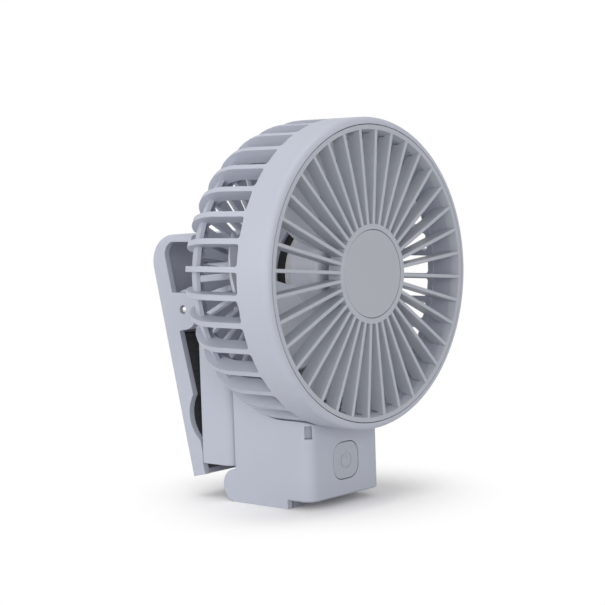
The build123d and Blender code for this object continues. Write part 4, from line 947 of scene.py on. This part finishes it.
@dataclass
class Studio:
    """White surround, white floor, soft lamps and the camera."""

    position_mm: Point = (-419.7, -379.0, 109.8)
    yaw: float = 48.29
    pitch: float = 4.49
    roll: float = -1.88
    lens_mm: float = 101.2
    film_mm: float = 36.0
    clip_start_m: float = 0.01
    world_level: float = 0.5         # light of the surround on the fan
    floor_half_m: float = 2.0
    floor_drop_mm: float = 0.02      # the floor lies this far under the foot
    paper: str = "E4E4E4"
    paper_lift: str = "B4B1AE"       # added to the paper where it is seen, but not to its bounced light
    shadow_near_m: float = 0.03      # this far from the foot's middle the floor keeps all its shadow
    shadow_far_m: float = 0.075      # and from here on it is plain white
    lamps: tuple[Lamp, ...] = (
        Lamp("key_left", (-1.2, -0.2, 0.2), 0.8, 1.9),
        Lamp("left_rear", (-1.05, 0.6, 0.25), 0.8, 4.0),
        Lamp("top_soft", (-0.1, 0.0, 1.3), 1.0, 4.8),
        Lamp("front_fill", (-0.75, -0.95, 0.25), 0.6, 4.8),
    )

    def camera(self) -> None:
        """Stand the camera where the photograph was taken from."""
        yaw, pitch, roll = (math.radians(a) for a in (self.yaw, self.pitch, self.roll))
        forward = Vector((math.sin(yaw) * math.cos(pitch), math.cos(yaw) * math.cos(pitch),
                          -math.sin(pitch)))
        level = Vector((math.cos(yaw), -math.sin(yaw), 0.0))
        upright = level.cross(forward)
        right = level * math.cos(roll) + upright * math.sin(roll)
        up = upright * math.cos(roll) - level * math.sin(roll)
        data = bpy.data.cameras.new("camera")
        data.lens = self.lens_mm
        data.sensor_width = self.film_mm
        data.clip_start = self.clip_start_m
        camera = bpy.data.objects.new("camera", data)
        turn = Matrix((right, up, -forward)).transposed().to_4x4()
        camera.matrix_world = Matrix.Translation(Vector(self.position_mm) * MM) @ turn
        bpy.context.scene.collection.objects.link(camera)
        bpy.context.scene.camera = camera

    def seen_white(self, tree: bpy.types.NodeTree) -> bpy.types.NodeSocket:
        """Join the rays that show the background itself: camera, gloss and glass.

        Args:
            tree: the node tree to add to.

        Returns:
            A socket that is 1 for those rays.
        """
        path = add_node(tree, "ShaderNodeLightPath")
        direct = add_node(tree, "ShaderNodeMath", {"operation": "MAXIMUM"}, {},
                          {0: path.outputs["Is Camera Ray"], 1: path.outputs["Is Transmission Ray"]})
        return add_node(tree, "ShaderNodeMath", {"operation": "MAXIMUM"}, {},
                        {0: direct.outputs[0], 1: path.outputs["Is Glossy Ray"]}).outputs[0]

    def world(self) -> None:
        """Light the fan evenly from all round, with a surround that is seen as pure white."""
        world = bpy.data.worlds.new("studio")
        bpy.context.scene.world = world
        world.use_nodes = True
        tree = world.node_tree
        tree.nodes.clear()
        level = add_node(tree, "ShaderNodeMapRange", {}, {"To Min": self.world_level, "To Max": 1.0},
                         {"Value": self.seen_white(tree)}).outputs[0]
        background = add_node(tree, "ShaderNodeBackground", {}, {"Color": (1.0, 1.0, 1.0, 1.0)},
                              {"Strength": level})
        add_node(tree, "ShaderNodeOutputWorld", {}, {}, {"Surface": background.outputs[0]})

    def floor_paper(self) -> bpy.types.Material:
        """Make matt white paper that keeps the fan's shadow near it and is clear from below.

        Returns:
            The floor's material.
        """
        material = bpy.data.materials.new("floor_paper_matt")
        material.use_nodes = True
        tree = material.node_tree
        tree.nodes.clear()
        paper = add_node(tree, "ShaderNodeBsdfDiffuse", {}, {"Color": from_hex(self.paper)})
        lift = add_node(tree, "ShaderNodeBsdfDiffuse", {}, {"Color": from_hex(self.paper_lift)})
        lit = add_node(tree, "ShaderNodeAddShader", {}, {}, {0: paper.outputs[0], 1: lift.outputs[0]})
        white = add_node(tree, "ShaderNodeEmission", {}, {"Strength": 1.0})
        place = add_node(tree, "ShaderNodeTexCoord").outputs["Object"]
        reach = add_node(tree, "ShaderNodeVectorMath", {"operation": "LENGTH"}, {},
                         {0: place}).outputs["Value"]
        out = add_node(tree, "ShaderNodeMapRange", {"interpolation_type": "SMOOTHSTEP"},
                       {"From Min": self.shadow_near_m, "From Max": self.shadow_far_m},
                       {"Value": reach}).outputs[0]
        seen = add_node(tree, "ShaderNodeMixShader", {}, {},
                        {0: out, 1: lit.outputs[0], 2: white.outputs[0]})
        mixed = add_node(tree, "ShaderNodeMixShader", {}, {},
                         {0: self.seen_white(tree), 1: paper.outputs[0], 2: seen.outputs[0]})
        under = add_node(tree, "ShaderNodeNewGeometry").outputs["Backfacing"]
        clear = add_node(tree, "ShaderNodeBsdfTransparent")
        sheet = add_node(tree, "ShaderNodeMixShader", {}, {},
                         {0: under, 1: mixed.outputs[0], 2: clear.outputs[0]})
        add_node(tree, "ShaderNodeOutputMaterial", {}, {}, {"Surface": sheet.outputs[0]})
        return material

    def floor(self) -> None:
        """Lay the floor under the foot."""
        half = self.floor_half_m
        mesh = bpy.data.meshes.new("floor")
        mesh.from_pydata([(-half, -half, 0), (half, -half, 0), (half, half, 0), (-half, half, 0)], [],
                         [(0, 1, 2, 3)])
        mesh.materials.append(self.floor_paper())
        floor = bpy.data.objects.new("floor", mesh)
        floor.location.z = -self.floor_drop_mm * MM
        bpy.context.scene.collection.objects.link(floor)

    def build(self) -> None:
        """Set up camera, surround, floor and lamps."""
        self.camera()
        self.world()
        self.floor()
        for lamp in self.lamps:
            lamp.build()
        bpy.context.scene.view_settings.view_transform = "Standard"


def main() -> None:
    """Build the scene in order."""
    logging.basicConfig(level=logging.INFO, format="%(name)s: %(message)s")
    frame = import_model()
    Studio().build()
    fan = Fan(frame["nodes"], frame["record"])
    fan.dress()
    for node in SCREW_NODES:
        Screw().build(fan, node)
    Spring().build(fan)
    PivotPin().build(fan)
    PowerButton().build(fan)
    Board().build(fan)
    SocketTongue().build(fan)


if __name__ == "__main__":
    main()
